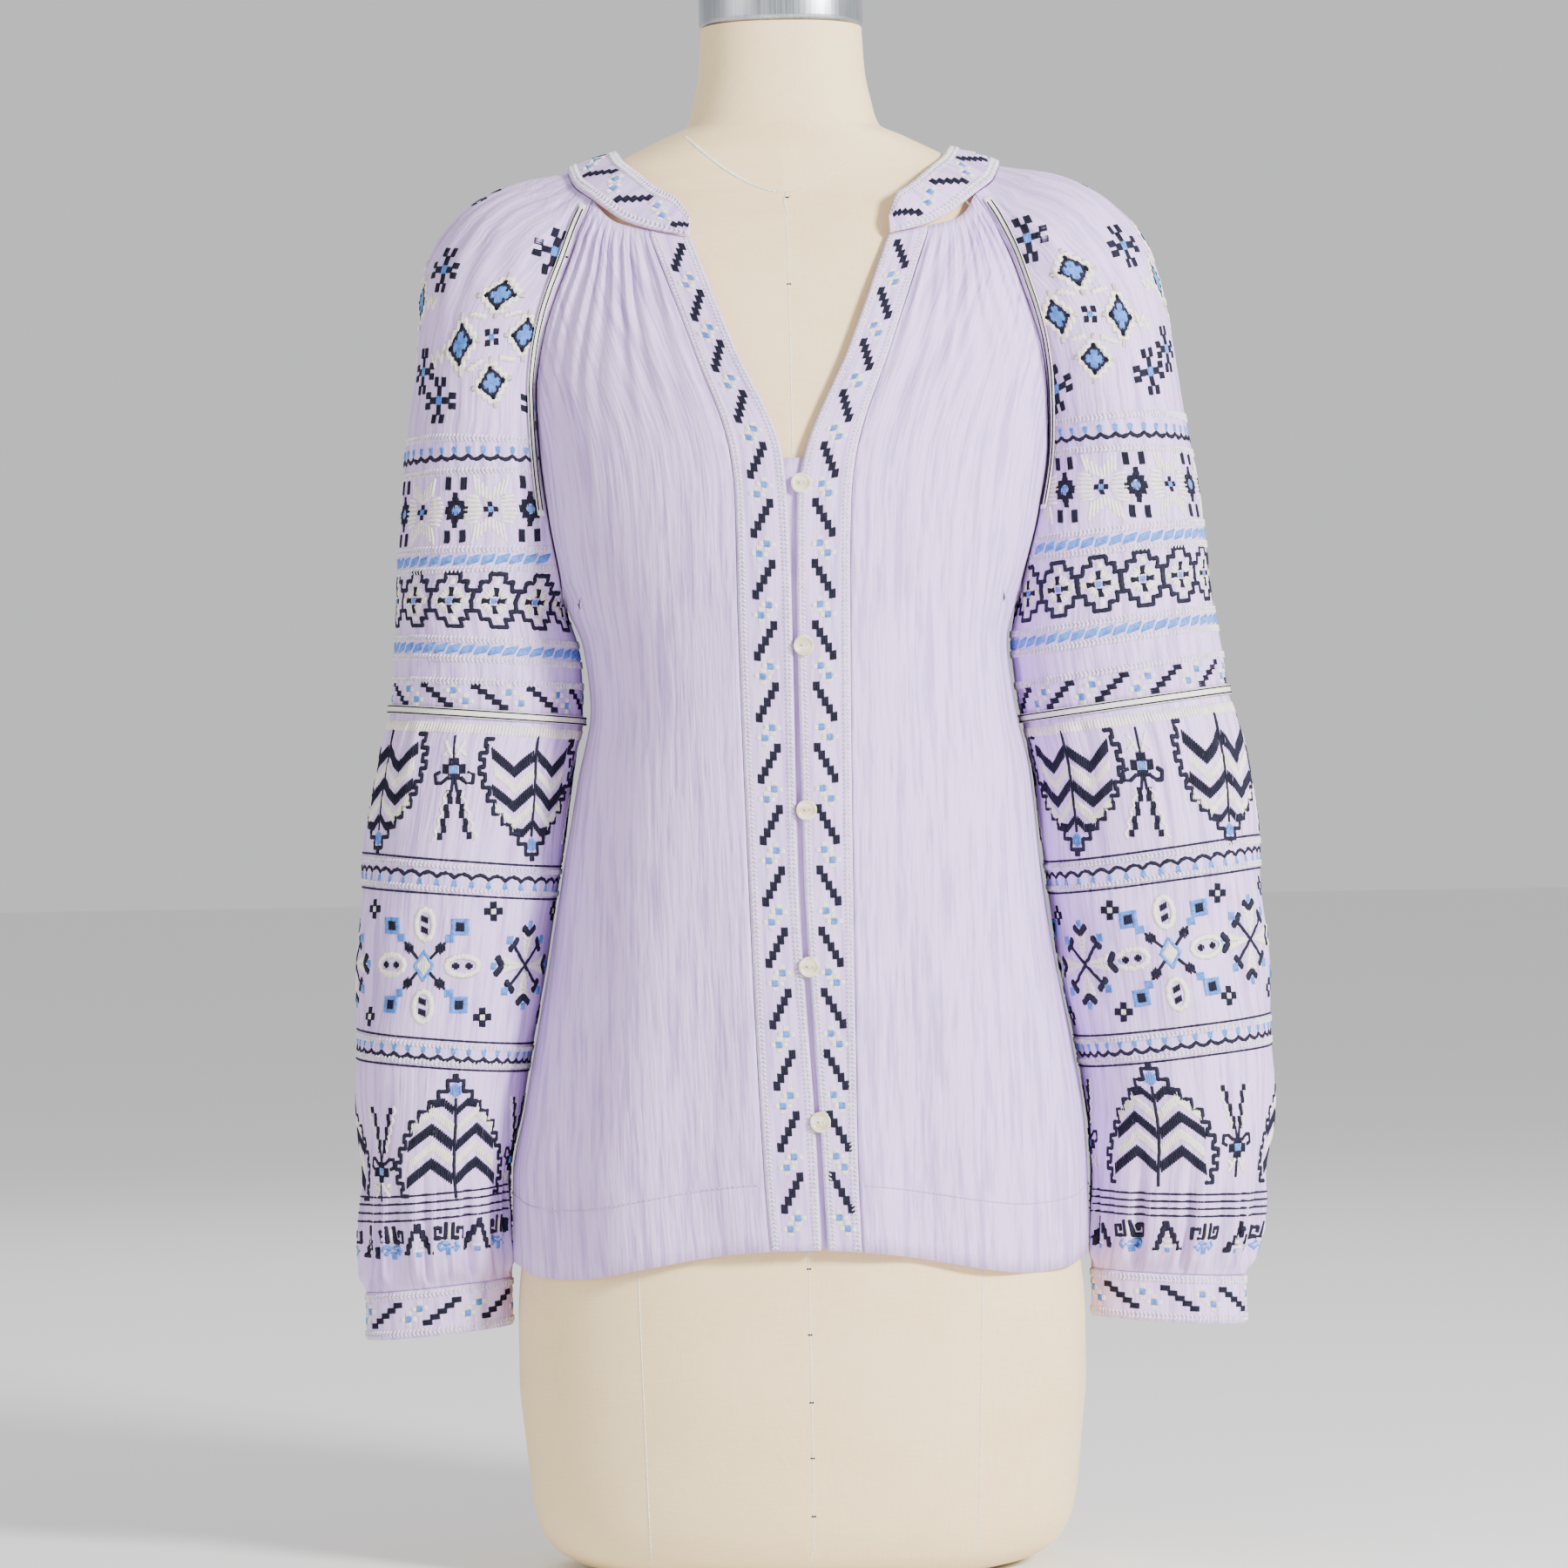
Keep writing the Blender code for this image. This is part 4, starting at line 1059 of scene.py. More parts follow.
def strip_face(side: Side, rows: int = 120, columns: int = 14) -> Face:
    """The embroidered strip's face; across is measured outwards from its middle."""
    strip = PLACKETS[side]
    level, share = lattice(dense(PANEL_LEVELS, rows), np.linspace(0, 1, columns))
    top = band_point(side, STRIP_TOP_PLACE * (1 - share), "outer")
    edges = [float(strip.at(name, HEM_SIDE)) for name in ("outer", "inner")]
    low = hem_height(turn_at(side, HEM_SIDE, edges[0] + (edges[1] - edges[0]) * share))
    height = low + (top[..., 2] - low) * level
    outer, inner = strip.at("outer", height), strip.at("inner", height)
    point = front_point(height, outer + (inner - outer) * share)
    edge = front_point(top[..., 2], top[..., 0])
    fall = 1 - fade(top[..., 2] - height, 0.0, NECK_BLEND)
    grid = (point + (top - edge) * fall[..., None])[:, ::-1]
    levels = run_along(grid, 0)[:, columns // 2]
    widths = run_along(grid, 1)
    return Face(grid, levels, widths - widths[:, -1:] / 2, side is Side.LEFT)


def underlap_face(rows: int = 60, columns: int = 24) -> Face:
    """The plain strip under the opening."""
    low = float(hem_height(np.array(0.0))) + 0.0010
    height, x = lattice(np.linspace(low, UNDERLAP_TOP, rows), np.linspace(*UNDERLAP_SIDES, columns))
    shift = 0.0085 * (1 - fade(height, 0.18, 0.42))
    grid = front_point(height, x + shift, -0.0018 - 3 * SEAM_GAP)
    return Face(grid, height[:, 0], run_along(grid, 1))


def seam_point(side: Side, height: Array, back: bool) -> Point:
    """Where a sleeve meets the body: on the raglan seams, or under the arm."""
    height = np.asarray(height, dtype=float)
    x = SLEEVES[side].at("seam_x", height)
    y = np.full_like(height, SLEEVE_CENTRE_Y + (SEAM_GAP if back else -SEAM_GAP))
    under = np.stack((side.value * (x + SEAM_GAP), y, height), axis=-1)
    turn = turn_at(side, height, side.value * x)
    over = body_point(side, height, HALF_TURN - turn if back else turn)
    over = over + np.array((side.value * SEAM_GAP, 0.0, 0.0))
    return np.where((height <= ARMPIT_HEIGHT)[..., None], under, over)


def sleeve_ring(side: Side, height: Array, place: Array, out: Array | float = 0.0) -> Point:
    """Points round a sleeve, from its front seam (0) over the outside to its back seam (1).

    Args:
        side: Which sleeve.
        height: The rings' seam heights.
        place: Places round the rings.
        out: How far each point is moved out.

    Returns:
        An array of points.
    """
    height, place, out = np.broadcast_arrays(height, place, out)
    table = SLEEVES[side]
    outer_x, outer_z = table.at("outer_x", height), table.at("outer_height", height)
    halves = []
    for back in (False, True):
        seam = seam_point(side, height, back)
        reach = np.abs(seam[..., 1] - SLEEVE_CENTRE_Y)
        depth = np.maximum(table.at("back" if back else "front", height), reach * 1.01)
        span = outer_x - side.value * seam[..., 0]
        width = span / (1 + np.sqrt(1 - (reach / depth) ** 2))
        turn = (HALF_TURN - np.arcsin(reach / depth)) * np.abs(2 * place - 1)
        x = outer_x - width + width * np.cos(turn)
        y = (1 if back else -1) * depth * np.sin(turn)
        lean = np.stack((np.cos(turn) / width, y / depth**2), axis=-1)
        lean /= np.linalg.norm(lean, axis=-1, keepdims=True)
        z = seam[..., 2] + (outer_z - seam[..., 2]) * (x - side.value * seam[..., 0]) / span
        x, y = x + out * lean[..., 0], y + out * lean[..., 1]
        halves.append(np.stack((side.value * x, y + SLEEVE_CENTRE_Y, z), axis=-1))
    return np.where((place > 0.5)[..., None], halves[1], halves[0])


def sleeve_grid(side: Side, height: Array, place: Array, out: Array | float = 0.0) -> Point:
    """A sleeve's points, its top pulled on to the neck band's edge."""
    top = float(SLEEVES[side].keys[-1])
    first, last = RAGLAN_FRONT_PLACE + NECK_GAP_PLACE, RAGLAN_BACK_PLACE - NECK_GAP_PLACE
    edge = band_point(side, first + (last - first) * place, "outer")
    pull = edge - sleeve_ring(side, np.full_like(place, top), place)
    share = 1 - fade(top - height, 0.0, NECK_BLEND)
    return sleeve_ring(side, height, place, out) + pull * share[..., None]


def from_front_line(plain: Point) -> Array:
    """Distances round each ring, from the point that lies furthest forward."""
    run = run_along(plain, 1)
    half = plain.shape[1] // 2
    front = np.argmin(plain[:, :half, 1], axis=1)
    return run - run[np.arange(len(run)), front][:, None]


def sleeve_face(side: Side, height: Array, place: Array, fold: Array, seed: float) -> Face:
    """A sleeve's face over a grid; the last point of a row falls on its first below the elbow."""
    across, levels = from_front_line(sleeve_grid(side, height, place)), height[:, 0]
    grid = settle(sleeve_grid(side, height, place, fold), across, levels, seed)
    if levels[-1] < ELBOW_HEIGHT[side]:
        grid[:, -1] = grid[:, 0]
    return Face(grid, levels, across, side is Side.LEFT, slanting=True)


def upper_sleeve_face(side: Side, rows: int = 76, columns: int = 176) -> Face:
    """The upper sleeve, from the elbow seam to the neck band."""
    top = float(SLEEVES[side].keys[-1])
    stops = (ELBOW_HEIGHT[side] + SEAM_GAP / 2, 0.54, ARMPIT_HEIGHT, 0.592, 0.625, 0.662)
    stops += (0.698, 0.726, 0.750, 0.772, 0.791, 0.806, top)
    height, place = lattice(dense(stops, rows), np.linspace(0, 1, columns))
    from_top = (top - height) * 1.3
    ends = fade(place, 0.05, 0.12) * (1 - fade(place, 0.88, 0.95))
    fold = ends * neck_folds(place, from_top, 12, SLEEVE_FOLD_DEPTH)
    above = height - ELBOW_HEIGHT[side]
    fold = fold - 0.0008 * (1 - fade(above, 0.0, 0.05)) * gathers(place * 31 + 0.2) * (above > 0.003)
    return sleeve_face(side, height, place, fold, 2.0)


def lower_sleeve_face(side: Side, rows: int = 82, columns: int = 200) -> Face:
    """The lower sleeve, gathered at the elbow seam and the wrist, as a closed ring."""
    top = ELBOW_HEIGHT[side]
    stops = (WRIST_HEIGHT + SEAM_GAP / 2, 0.180, 0.186, 0.193, 0.202, 0.218, 0.234, 0.272, 0.320)
    stops += (0.375, 0.430, 0.468, 0.480, 0.488, 0.494, top - SEAM_GAP / 2)
    height, place = lattice(dense(stops, rows), np.linspace(0, 1, columns))
    below, above = top - height, height - WRIST_HEIGHT
    drift = place + 0.006 * np.sin(place * 38 + height * 20)
    elbow = fade(below, 0.003, 0.012) * (1 - fade(below, 0.012, 0.080))
    wrist = fade(above, 0.0, 0.010) * (1 - fade(above, 0.016, 0.090))
    wave = 0.6 * gathers(12 * drift) + 0.4 * gathers(29 * drift + 0.2, 1.3)
    soft = np.sin(2 * HALF_TURN * (4 * place + 1.2 * height / 0.1))
    middle = fade(below, 0.02, 0.08) * fade(above, 0.02, 0.08)
    ends = fade(place, 0.0, 0.05) * (1 - fade(place, 0.95, 1.0))
    crease = gathers(19 * drift + 0.37, 3.0)
    fold = ends * ((0.0020 * elbow + 0.0046 * wrist) * wave + 0.0012 * middle * soft)
    fold = fold - ends * (0.0040 * wrist + 0.0012 * elbow) * crease
    return sleeve_face(side, height, place, fold, 3.0)


def cuff_face(side: Side, rows: int = 14, columns: int = 160) -> Face:
    """The cuff, straight down from the wrist."""
    drop, place = lattice(np.linspace(-CUFF_DEPTH, -SEAM_GAP / 2, rows), np.linspace(0, 1, columns))
    grid = sleeve_ring(side, np.full_like(place, WRIST_HEIGHT), place)
    grid = grid + np.stack((0 * drop, 0 * drop, drop), axis=-1)
    grid[:, -1] = grid[:, 0]
    return Face(grid, CUFF_DEPTH + drop[:, 0], from_front_line(grid), side is Side.LEFT)


def band_face(rows: int = 12, columns: int = 420) -> Face:
    """The neck band: across runs along it from the centre back, right end first."""
    half = np.linspace(0.0, 1.0, columns // 2)
    edges = {}
    for edge in ("outer", "inner"):
        right, left = (band_point(side, half, edge) for side in (Side.RIGHT, Side.LEFT))
        edges[edge] = np.concatenate((right, left[::-1][1:]))
    outer, inner = edges["outer"], edges["inner"]
    along = np.gradient((outer + inner) / 2, axis=0)
    normal = np.cross(along, inner - outer)
    normal /= np.linalg.norm(normal, axis=1)[:, None]
    share = np.linspace(0, 1, rows)[:, None, None]
    crown = 0.0018 + SEAM_GAP + 0.0012 * (1 - (2 * share - 1) ** 2)
    grid = outer[None] + (inner - outer)[None] * share + normal[None] * crown
    width = float(np.linalg.norm(inner - outer, axis=1).mean())
    run = run_along(grid[rows // 2][None], 1)[0]
    across = np.broadcast_to(run - run[len(half) - 1], (rows, len(run)))
    return Face(grid, np.linspace(0, width, rows), across.copy())


# Embroidery charts, in millimetres about a motif's centre; x runs outwards


@dataclass
class Chart:
    """Draws about one centre of a face.

    Args:
        stitches: Where the stitches are kept.
        across: The centre's distance across, in metres.
        level: Its distance along, in metres.
        turned: -1 mirrors what is drawn across.
        upside: -1 mirrors it along.
        slant: How far the drawing leans inwards for each millimetre up.
        rise: How far it climbs for each millimetre outwards.
        size: Its size beside the chart's.
        middle: Where the motif's own middle is, in millimetres along.
    """

    stitches: Stitches
    across: float
    level: float
    turned: float = 1.0
    upside: float = 1.0
    slant: float = 0.0
    rise: float = 0.0
    size: float = 1.0
    middle: float = 0.0
    axes: Array = field(init=False)

    def __post_init__(self) -> None:
        at = self.level + self.upside * self.middle * MM
        self.axes = self.stitches.face.upright(self.across, at)

    def spot(self, x: float, y: float) -> Spot:
        """A place in metres for one in millimetres about the centre."""
        x, y = self.turned * x * MM * self.size, self.upside * y * MM * self.size
        move = self.axes @ (x - self.slant * y, y + self.rise * x)
        return self.across + float(move[0]), self.level + float(move[1])

    def bar(self, x0: float, y0: float, x1: float, y1: float, width: float, yarn: Yarn) -> None:
        """One stitch."""
        self.stitches.stitch(self.spot(x0, y0), self.spot(x1, y1), width * MM, yarn)

    def line(self, places: Sequence[Spot], width: float, yarn: Yarn, step: float = 3.4) -> None:
        """Stitches end to end."""
        self.stitches.path([self.spot(*p) for p in places], width * MM, yarn, step * MM)

    def satin(self, x: float, y: float, w: float, h: float, yarn: Yarn, upright: bool = True) -> None:
        """A block of parallel stitches."""
        wide, tall = (w + 0.4, h + 1.0) if upright else (h + 0.4, w + 1.0)
        count = max(2, round(wide / 1.05))
        pitch = wide / count
        for k in range(count):
            off = (k + 0.5) * pitch - wide / 2
            jog = 0.12 * math.sin(5.1 * k + x + 2 * y)
            if upright:
                self.bar(x + off, y - tall / 2 + jog, x + off, y + tall / 2 + jog, pitch * 1.5, yarn)
            else:
                self.bar(x - tall / 2 + jog, y + off, x + tall / 2 + jog, y + off, pitch * 1.5, yarn)

    def ribbon(self, places: Sequence[Spot], height: float, yarn: Yarn) -> None:
        """Upright satin stitches side by side along a line."""
        order = sorted(places)
        known_x, known_y = zip(*order)
        count = max(2, round((known_x[-1] - known_x[0]) / 1.15))
        pitch = (known_x[-1] - known_x[0]) / count
        for k in range(count):
            x = known_x[0] + (k + 0.5) * pitch
            y = float(np.interp(x, known_x, known_y))
            self.bar(x - 0.4, y - height / 2, x + 0.4, y + height / 2, pitch * 1.5, yarn)

    def corners(self, *spots: Spot) -> list[Spot]:
        """Each place with both signs of its two numbers, without repeats."""
        return sorted({(i * x, j * y) for x, y in spots for i, j in QUARTERS})

    def blocks(self, w: float, h: float, yarn: Yarn, *spots: Spot, upright: bool = True) -> None:
        """The same block at each place's corners."""
        for x, y in self.corners(*spots):
            self.satin(x, y, w, h, yarn, upright)


def stairs(a: Spot, b: Spot, steps: int) -> list[Spot]:
    """A stepped line between two places: across, then along."""
    made = [a]
    for k in range(1, steps + 1):
        x = a[0] + (b[0] - a[0]) * k / steps
        y = a[1] + (b[1] - a[1]) * k / steps
        made += [(x, made[-1][1]), (x, y)]
    return made


def mirrored(places: Sequence[Spot], i: float, j: float = 1.0) -> list[Spot]:
    """Places mirrored across for an i of -1, and along for a j of -1."""
    return [(i * x, j * y) for x, y in places]


def star(c: Chart) -> None:
    """An eight-armed star of blocks."""
    c.satin(0, 0, 4.4, 5.2, BLUE)
    c.blocks(3.4, 6.0, NAVY, (0, 5.6))
    c.blocks(3.3, 5.2, NAVY, (3.0, 11.0))
    c.blocks(5.8, 3.2, NAVY, (5.2, 0), upright=False)
    c.blocks(4.8, 3.3, NAVY, (10.0, 3.1), upright=False)


def lozenge(c: Chart, x: float, y: float, w: float, h: float) -> None:
    """A stepped diamond: ivory cord, black steps and a blue heart."""
    count = round(w / 1.15)
    for k in range(count):
        over = (k + 0.5) / count * 2 - 1
        reach = (h / 2 - 2.2) * (1 - abs(over) ** 1.15)
        if reach > 0.9:
            at = x + over * (w / 2 - 2.4)
            c.bar(at, y - reach, at, y + reach, 1.3, BLUE)
    for i, j in QUARTERS:
        edge = stairs((x + i * (w / 2 - 0.6), y), (x, y + j * (h / 2 - 0.8)), 3)
        c.line(edge, 3.3, NAVY, 2.8)
        far = stairs((x + i * (w / 2 + 3.4), y), (x, y + j * (h / 2 + 4.2)), 4)
        c.line(far, 3.4, IVORY, 2.8)


def diamonds(c: Chart) -> None:
    """Four linked diamonds round a small cross."""
    for k in BOTH:
        lozenge(c, 0, 26.5 * k, 18.0, 20.0)
        lozenge(c, 19.2 * k, 0, 15.5, 24.5)
    c.satin(0, 0, 3.0, 3.0, BLUE)
    c.blocks(2.8, 3.2, NAVY, (2.6, 2.9))
    for i, j in QUARTERS:
        c.line(stairs((i * 14.0, j * 15.0), (i * 6.0, j * 12.5), 3), 3.4, IVORY, 2.6)
    for i in BOTH:
        wavy = [(i * (30 + 3 * k), 3.4 * (-1) ** k) for k in range(5)]
        c.line(wavy, 3.2, IVORY, 2.6)


def little_flower(c: Chart, x: float = 0.0, y: float = 0.0) -> None:
    """A blue bud with four ivory petals."""
    c.satin(x, y, 3.3, 3.0, BLUE)
    for i, j in ((1, 0), (-1, 0), (0, 1), (0, -1)):
        c.satin(x + 3.5 * i, y + 3.3 * j, 2.4, 2.0, IVORY, upright=bool(j))


def daisy(c: Chart) -> None:
    """A large flower of ivory stitches round a small dark cross."""
    for k in range(-4, 5):
        x = k * 2.0
        for j in BOTH:
            c.bar(x, j * (4.4 + 0.5 * abs(x)), 1.3 * x, j * (11.5 + 1.15 * abs(x)), 2.2, IVORY)
    for k in range(-3, 4):
        y = k * 2.3
        for i in BOTH:
            c.bar(i * (4.2 + 0.3 * abs(y)), y, i * (17.0 - 0.3 * abs(y)), 1.2 * y, 2.2, IVORY)
    c.satin(0, 0, 2.8, 2.8, BLUE)
    c.blocks(2.4, 2.4, NAVY, (0, 3.0), (2.9, 0))


def stepped_flower(c: Chart) -> None:
    """A small dark flower with pairs of bars above and below."""
    c.satin(0, 0, 4.2, 4.2, BLUE)
    c.blocks(4.0, 4.0, NAVY, (0, 5.2), (5.0, 0), (3.3, 3.3))
    c.blocks(2.8, 3.2, NAVY, (0, 8.6))
    c.blocks(3.5, 7.4, NAVY, (4.9, 15.6))


def octagon(c: Chart) -> None:
    """One link of the chain: a stepped black frame round a rayed ivory star."""
    frame = [(0, 15.6), (4.6, 15.6), (4.6, 11.0), (9.4, 11.0), (9.4, 6.0), (13.4, 6.0), (13.4, 0)]
    for i, j in QUARTERS:
        c.line(mirrored(frame, i, j), 3.3, NAVY, 3.2)
    for k in range(4):
        turn = (k + 0.5) * HALF_TURN / 2
        for off in (-0.42, -0.14, 0.14, 0.42):
            x, y = math.cos(turn + off), math.sin(turn + off)
            c.bar(x * 3.6, y * 3.6, x * 8.6, y * 8.6, 2.2, IVORY)
    for x, y in c.corners((9.2, 0), (0, 11.0)):
        c.satin(x, y, 3.0, 3.0, IVORY, upright=bool(x))
    for x, y in c.corners((4.8, 0), (0, 5.2)):
        c.satin(x, y, 4.6 if x else 2.8, 4.8 if y else 2.8, NAVY, upright=bool(y))
    c.satin(0, 0, 2.6, 2.6, BLUE)


def diagonal(c: Chart, w: float, h: float, dx: float, dy: float, upright: bool = False) -> None:
    """Five blocks in a slanting row."""
    for k in range(-2, 3):
        c.satin(k * dx, k * dy, w, h, NAVY, upright)


LEAF_HALF_WIDTHS = (26.7, 30.8, 31.2, 27.9, 24.5, 18.3, 11.5, 5.8, 0.6)
LEAF_DROPS = (0, -10, -20.5, -30, -39.5, -46.5, -53.0, -60.0, -66.5)
LEAF_CHEVRONS = (
    ((-26.0, -7.0), (-12.8, -17.8), (-1.0, -8.6)), ((-25.4, -27.0), (-12.8, -36.8), (-1.0, -27.0))
)


def spaced(places: Sequence[Spot], pitch: float) -> list[Spot]:
    """Places at an even pitch along a line."""
    spots = np.array(places, dtype=float)
    run = np.concatenate(([0], np.cumsum(np.hypot(*np.diff(spots, axis=0).T))))
    at = np.linspace(0, run[-1], round(run[-1] / pitch) + 1)
    return list(zip(np.interp(at, run, spots[:, 0]), np.interp(at, run, spots[:, 1])))


def leaf(c: Chart) -> None:
    """A large leaf hanging from its base: toothed outline, vein and chevrons."""
    for i in BOTH:
        edge = mirrored(tuple(zip(LEAF_HALF_WIDTHS, LEAF_DROPS)), i)
        steps: list[Spot] = []
        for k, (x, y) in enumerate(spaced(edge, 3.9)):
            x += i * (1.3 if k % 2 else -1.3)
            steps += [(x, steps[-1][1]), (x, y)] if steps else [(x, y)]
        c.line(steps, 3.0, NAVY, 3.6)
        for chevron in LEAF_CHEVRONS:
            places = mirrored(chevron, -i)
            c.ribbon(places, 7.2, NAVY)
            c.ribbon([(0.95 * x, y - 9.6) for x, y in places], 6.4, IVORY)
        c.ribbon(mirrored(((12.5, -50.5), (6.5, -51.5), (1.0, -46.5)), i), 5.4, NAVY)
    c.line([(0, 1.5), (0, -53)], 2.5, NAVY, 3.4)
    for k in range(-2, 3):
        reach = 4.8 * (1 - abs(k) / 4.6)
        c.bar(k * 1.2, -58.0 - reach, k * 1.2, -58.0 + reach, 1.6, BLUE)


SPIDER_CURL = ((4.0, -5.0), (7.5, -8.0), (11.0, -8.0), (11.5, -3.0), (8.6, -1.6))
HOOK = ((2.2, 8.4), (2.2, -1.4), (9.0, -1.4), (9.4, 5.4), (5.4, 5.4), (5.4, 2.4))
HOOK_CURL = ((0.9, -5.6), (4.4, -4.6), (6.4, -7.2), (4.4, -9.4), (2.6, -7.6))


def spider(c: Chart) -> None:
    """A flower with a thin stem, side curls and two long stepped legs."""
    c.satin(0, 0, 4.2, 4.2, BLUE)
    c.satin(0, 4.6, 5.4, 4.0, NAVY)
    c.satin(0, -4.2, 6.4, 3.2, NAVY)
    for i in BOTH:
        c.satin(i * 4.8, 0.4, 3.6, 5.4, NAVY)
        c.line(mirrored(SPIDER_CURL, i), 2.7, NAVY, 2.8)
        c.line([(i * 0.7, -6.0), (i * 1.6, -13.0)], 2.3, NAVY, 3.0)
        for k in range(7):
            x = i * (2.2 + 0.95 * k + 0.7 * (-1) ** k)
            c.satin(x, -14.0 - 4.2 * k, 2.7, 3.8, NAVY)
        beside = spaced([(i * 4.5, -13), (i * 12.6, -42)], 3.2)
        c.line([(x + (1.0 if k % 2 else -1.0), y) for k, (x, y) in enumerate(beside)], 2.3, IVORY, 3.0)
        c.line([(i * 1.4, 8.0), (i * 5.5, 16.0)], 2.6, IVORY, 2.6)
        c.line([(i * 6.5, 8.5), (i * 2.4, 12.0)], 2.6, IVORY, 2.6)
    c.line([(0, 6), (0, 19)], 2.0, NAVY, 3.0)


def loop(c: Chart, x: float, y: float, w: float, h: float) -> None:
    """An ivory loop with two black lozenges."""
    turns = np.linspace(0, 2 * HALF_TURN, 13)
    c.line([(x + w / 2 * math.cos(t), y + h / 2 * math.sin(t)) for t in turns], 4.6, IVORY, 3.0)
    upright = h > w
    for k in BOTH:
        for n in range(4):
            off = (n - 1.5) * 1.15
            lean = 0.9 * off / 2.3
            middle = (x + off, y + 3.2 * k + lean) if upright else (x + 3.9 * k + off, y)
            reach = 2.1 if upright else 2.9 - 0.9 * abs(off)
            c.bar(middle[0], middle[1] - reach, middle[0], middle[1] + reach, 1.5, NAVY)


def rosette(c: Chart) -> None:
    """Four ivory loops, blue squares and arrowheads round an ivory heart."""
    for j in BOTH:
        loop(c, 0, j * 24.2, 11.0, 18.0)
        loop(c, j * 23.0, 0, 19.5, 11.5)
    for x, y in c.corners((21.5, 23.2)):
        for side in BOTH:
            c.satin(x + side * 3.9, y, 2.4, 9.4, BLUE, upright=False)
            c.satin(x, y + side * 3.9, 5.6, 1.6, BLUE)
        c.satin(x, y, 5.2, 5.0, NAVY)
    c.blocks(4.8, 4.2, BLUE, (15.4, 16.2))
    for x, y in c.corners((10.0, 10.4)):
        i = math.copysign(1, x)
        for k in range(-2, 3):
            reach = 4.0 - 1.1 * abs(k)
            c.bar(x + k * 1.25, y - reach, x + k * 1.25, y + reach, 1.6, NAVY)
        c.line([(x + i * 2.6, y * 1.28), (x - i * 5.8, y * 0.42)], 2.4, NAVY, 3.4)
    for k in range(-3, 4):
        reach = 5.8 * (1 - abs(k) / 4.4)
        c.bar(k * 1.1, -reach, k * 1.1, reach, 1.5, IVORY)
    c.line([(0, 8.6), (5.7, 0), (0, -8.6), (-5.7, 0), (0, 8.6)], 2.5, BLUE, 2.6)


def wheel(c: Chart) -> None:
    """A crossed wheel: ivory petals between its arms, dark chevrons and blue tips outside."""
    for dx, dy in ((1, 0), (0, 1), (-1, 0), (0, -1)):
        for k in range(5):
            near, spread = 4.2 + 2.7 * k, 1.4 + 1.0 * k
            for i in BOTH:
                a = (dx * near, dy * near)
                b = (dx * (near + 3.0) + i * dy * spread, dy * (near + 3.0) + i * dx * spread)
                c.bar(*a, *b, 3.6, IVORY)
        for i in BOTH:
            a = (dx * 17.6 - i * dy * 0.6, dy * 17.6 - i * dx * 0.6)
            c.bar(*a, dx * 23.4 + i * dy * 6.0, dy * 23.4 + i * dx * 6.0, 5.4, NAVY)
        c.satin(dx * 24.4, dy * 24.4, 3.4, 3.8, BLUE)
    for i, j in QUARTERS:
        c.line([(0, 0), (i * 11.6, j * 12.0)], 2.9, NAVY, 3.6)
        c.bar(i * 8.2, j * 16.6, i * 14.8, j * 8.2, 5.4, NAVY)
        c.satin(i * 15.0, j * 15.2, 4.4, 4.4, BLUE)


def small_cross(c: Chart) -> None:
    """Four black blocks round an ivory one."""
    c.satin(0, 0, 2.6, 2.6, IVORY)
    c.blocks(3.7, 3.7, NAVY, (3.7, 0), (0, 3.7))


def arch(c: Chart) -> None:
    """A stepped peak with an ivory ladder."""
    for i in BOTH:
        c.line(stairs((i * 7.8, -9.0), (i * 0.9, 8.4), 4), 3.3, NAVY, 3.2)
    for k in range(3):
        c.bar(-3.4 + 0.8 * k, -7.5 + 3.4 * k, 3.4 - 0.8 * k, -7.5 + 3.4 * k, 2.4, IVORY)
    c.satin(0, -9.6, 2.4, 2.4, BLUE)


def hooks(c: Chart) -> None:
    """Two dark hooks over a blue trefoil."""
    for i in BOTH:
        c.line(mirrored(HOOK, i), 2.9, NAVY, 3.2)
        c.line(mirrored(HOOK_CURL, i), 2.7, BLUE, 2.4)
    c.bar(0, -2.0, 0, 8.0, 2.2, IVORY)
    c.satin(0, -10.2, 2.6, 4.6, BLUE)


BRAID_STITCH = (1.5 * MM, BRAID, 1.0 * MM)


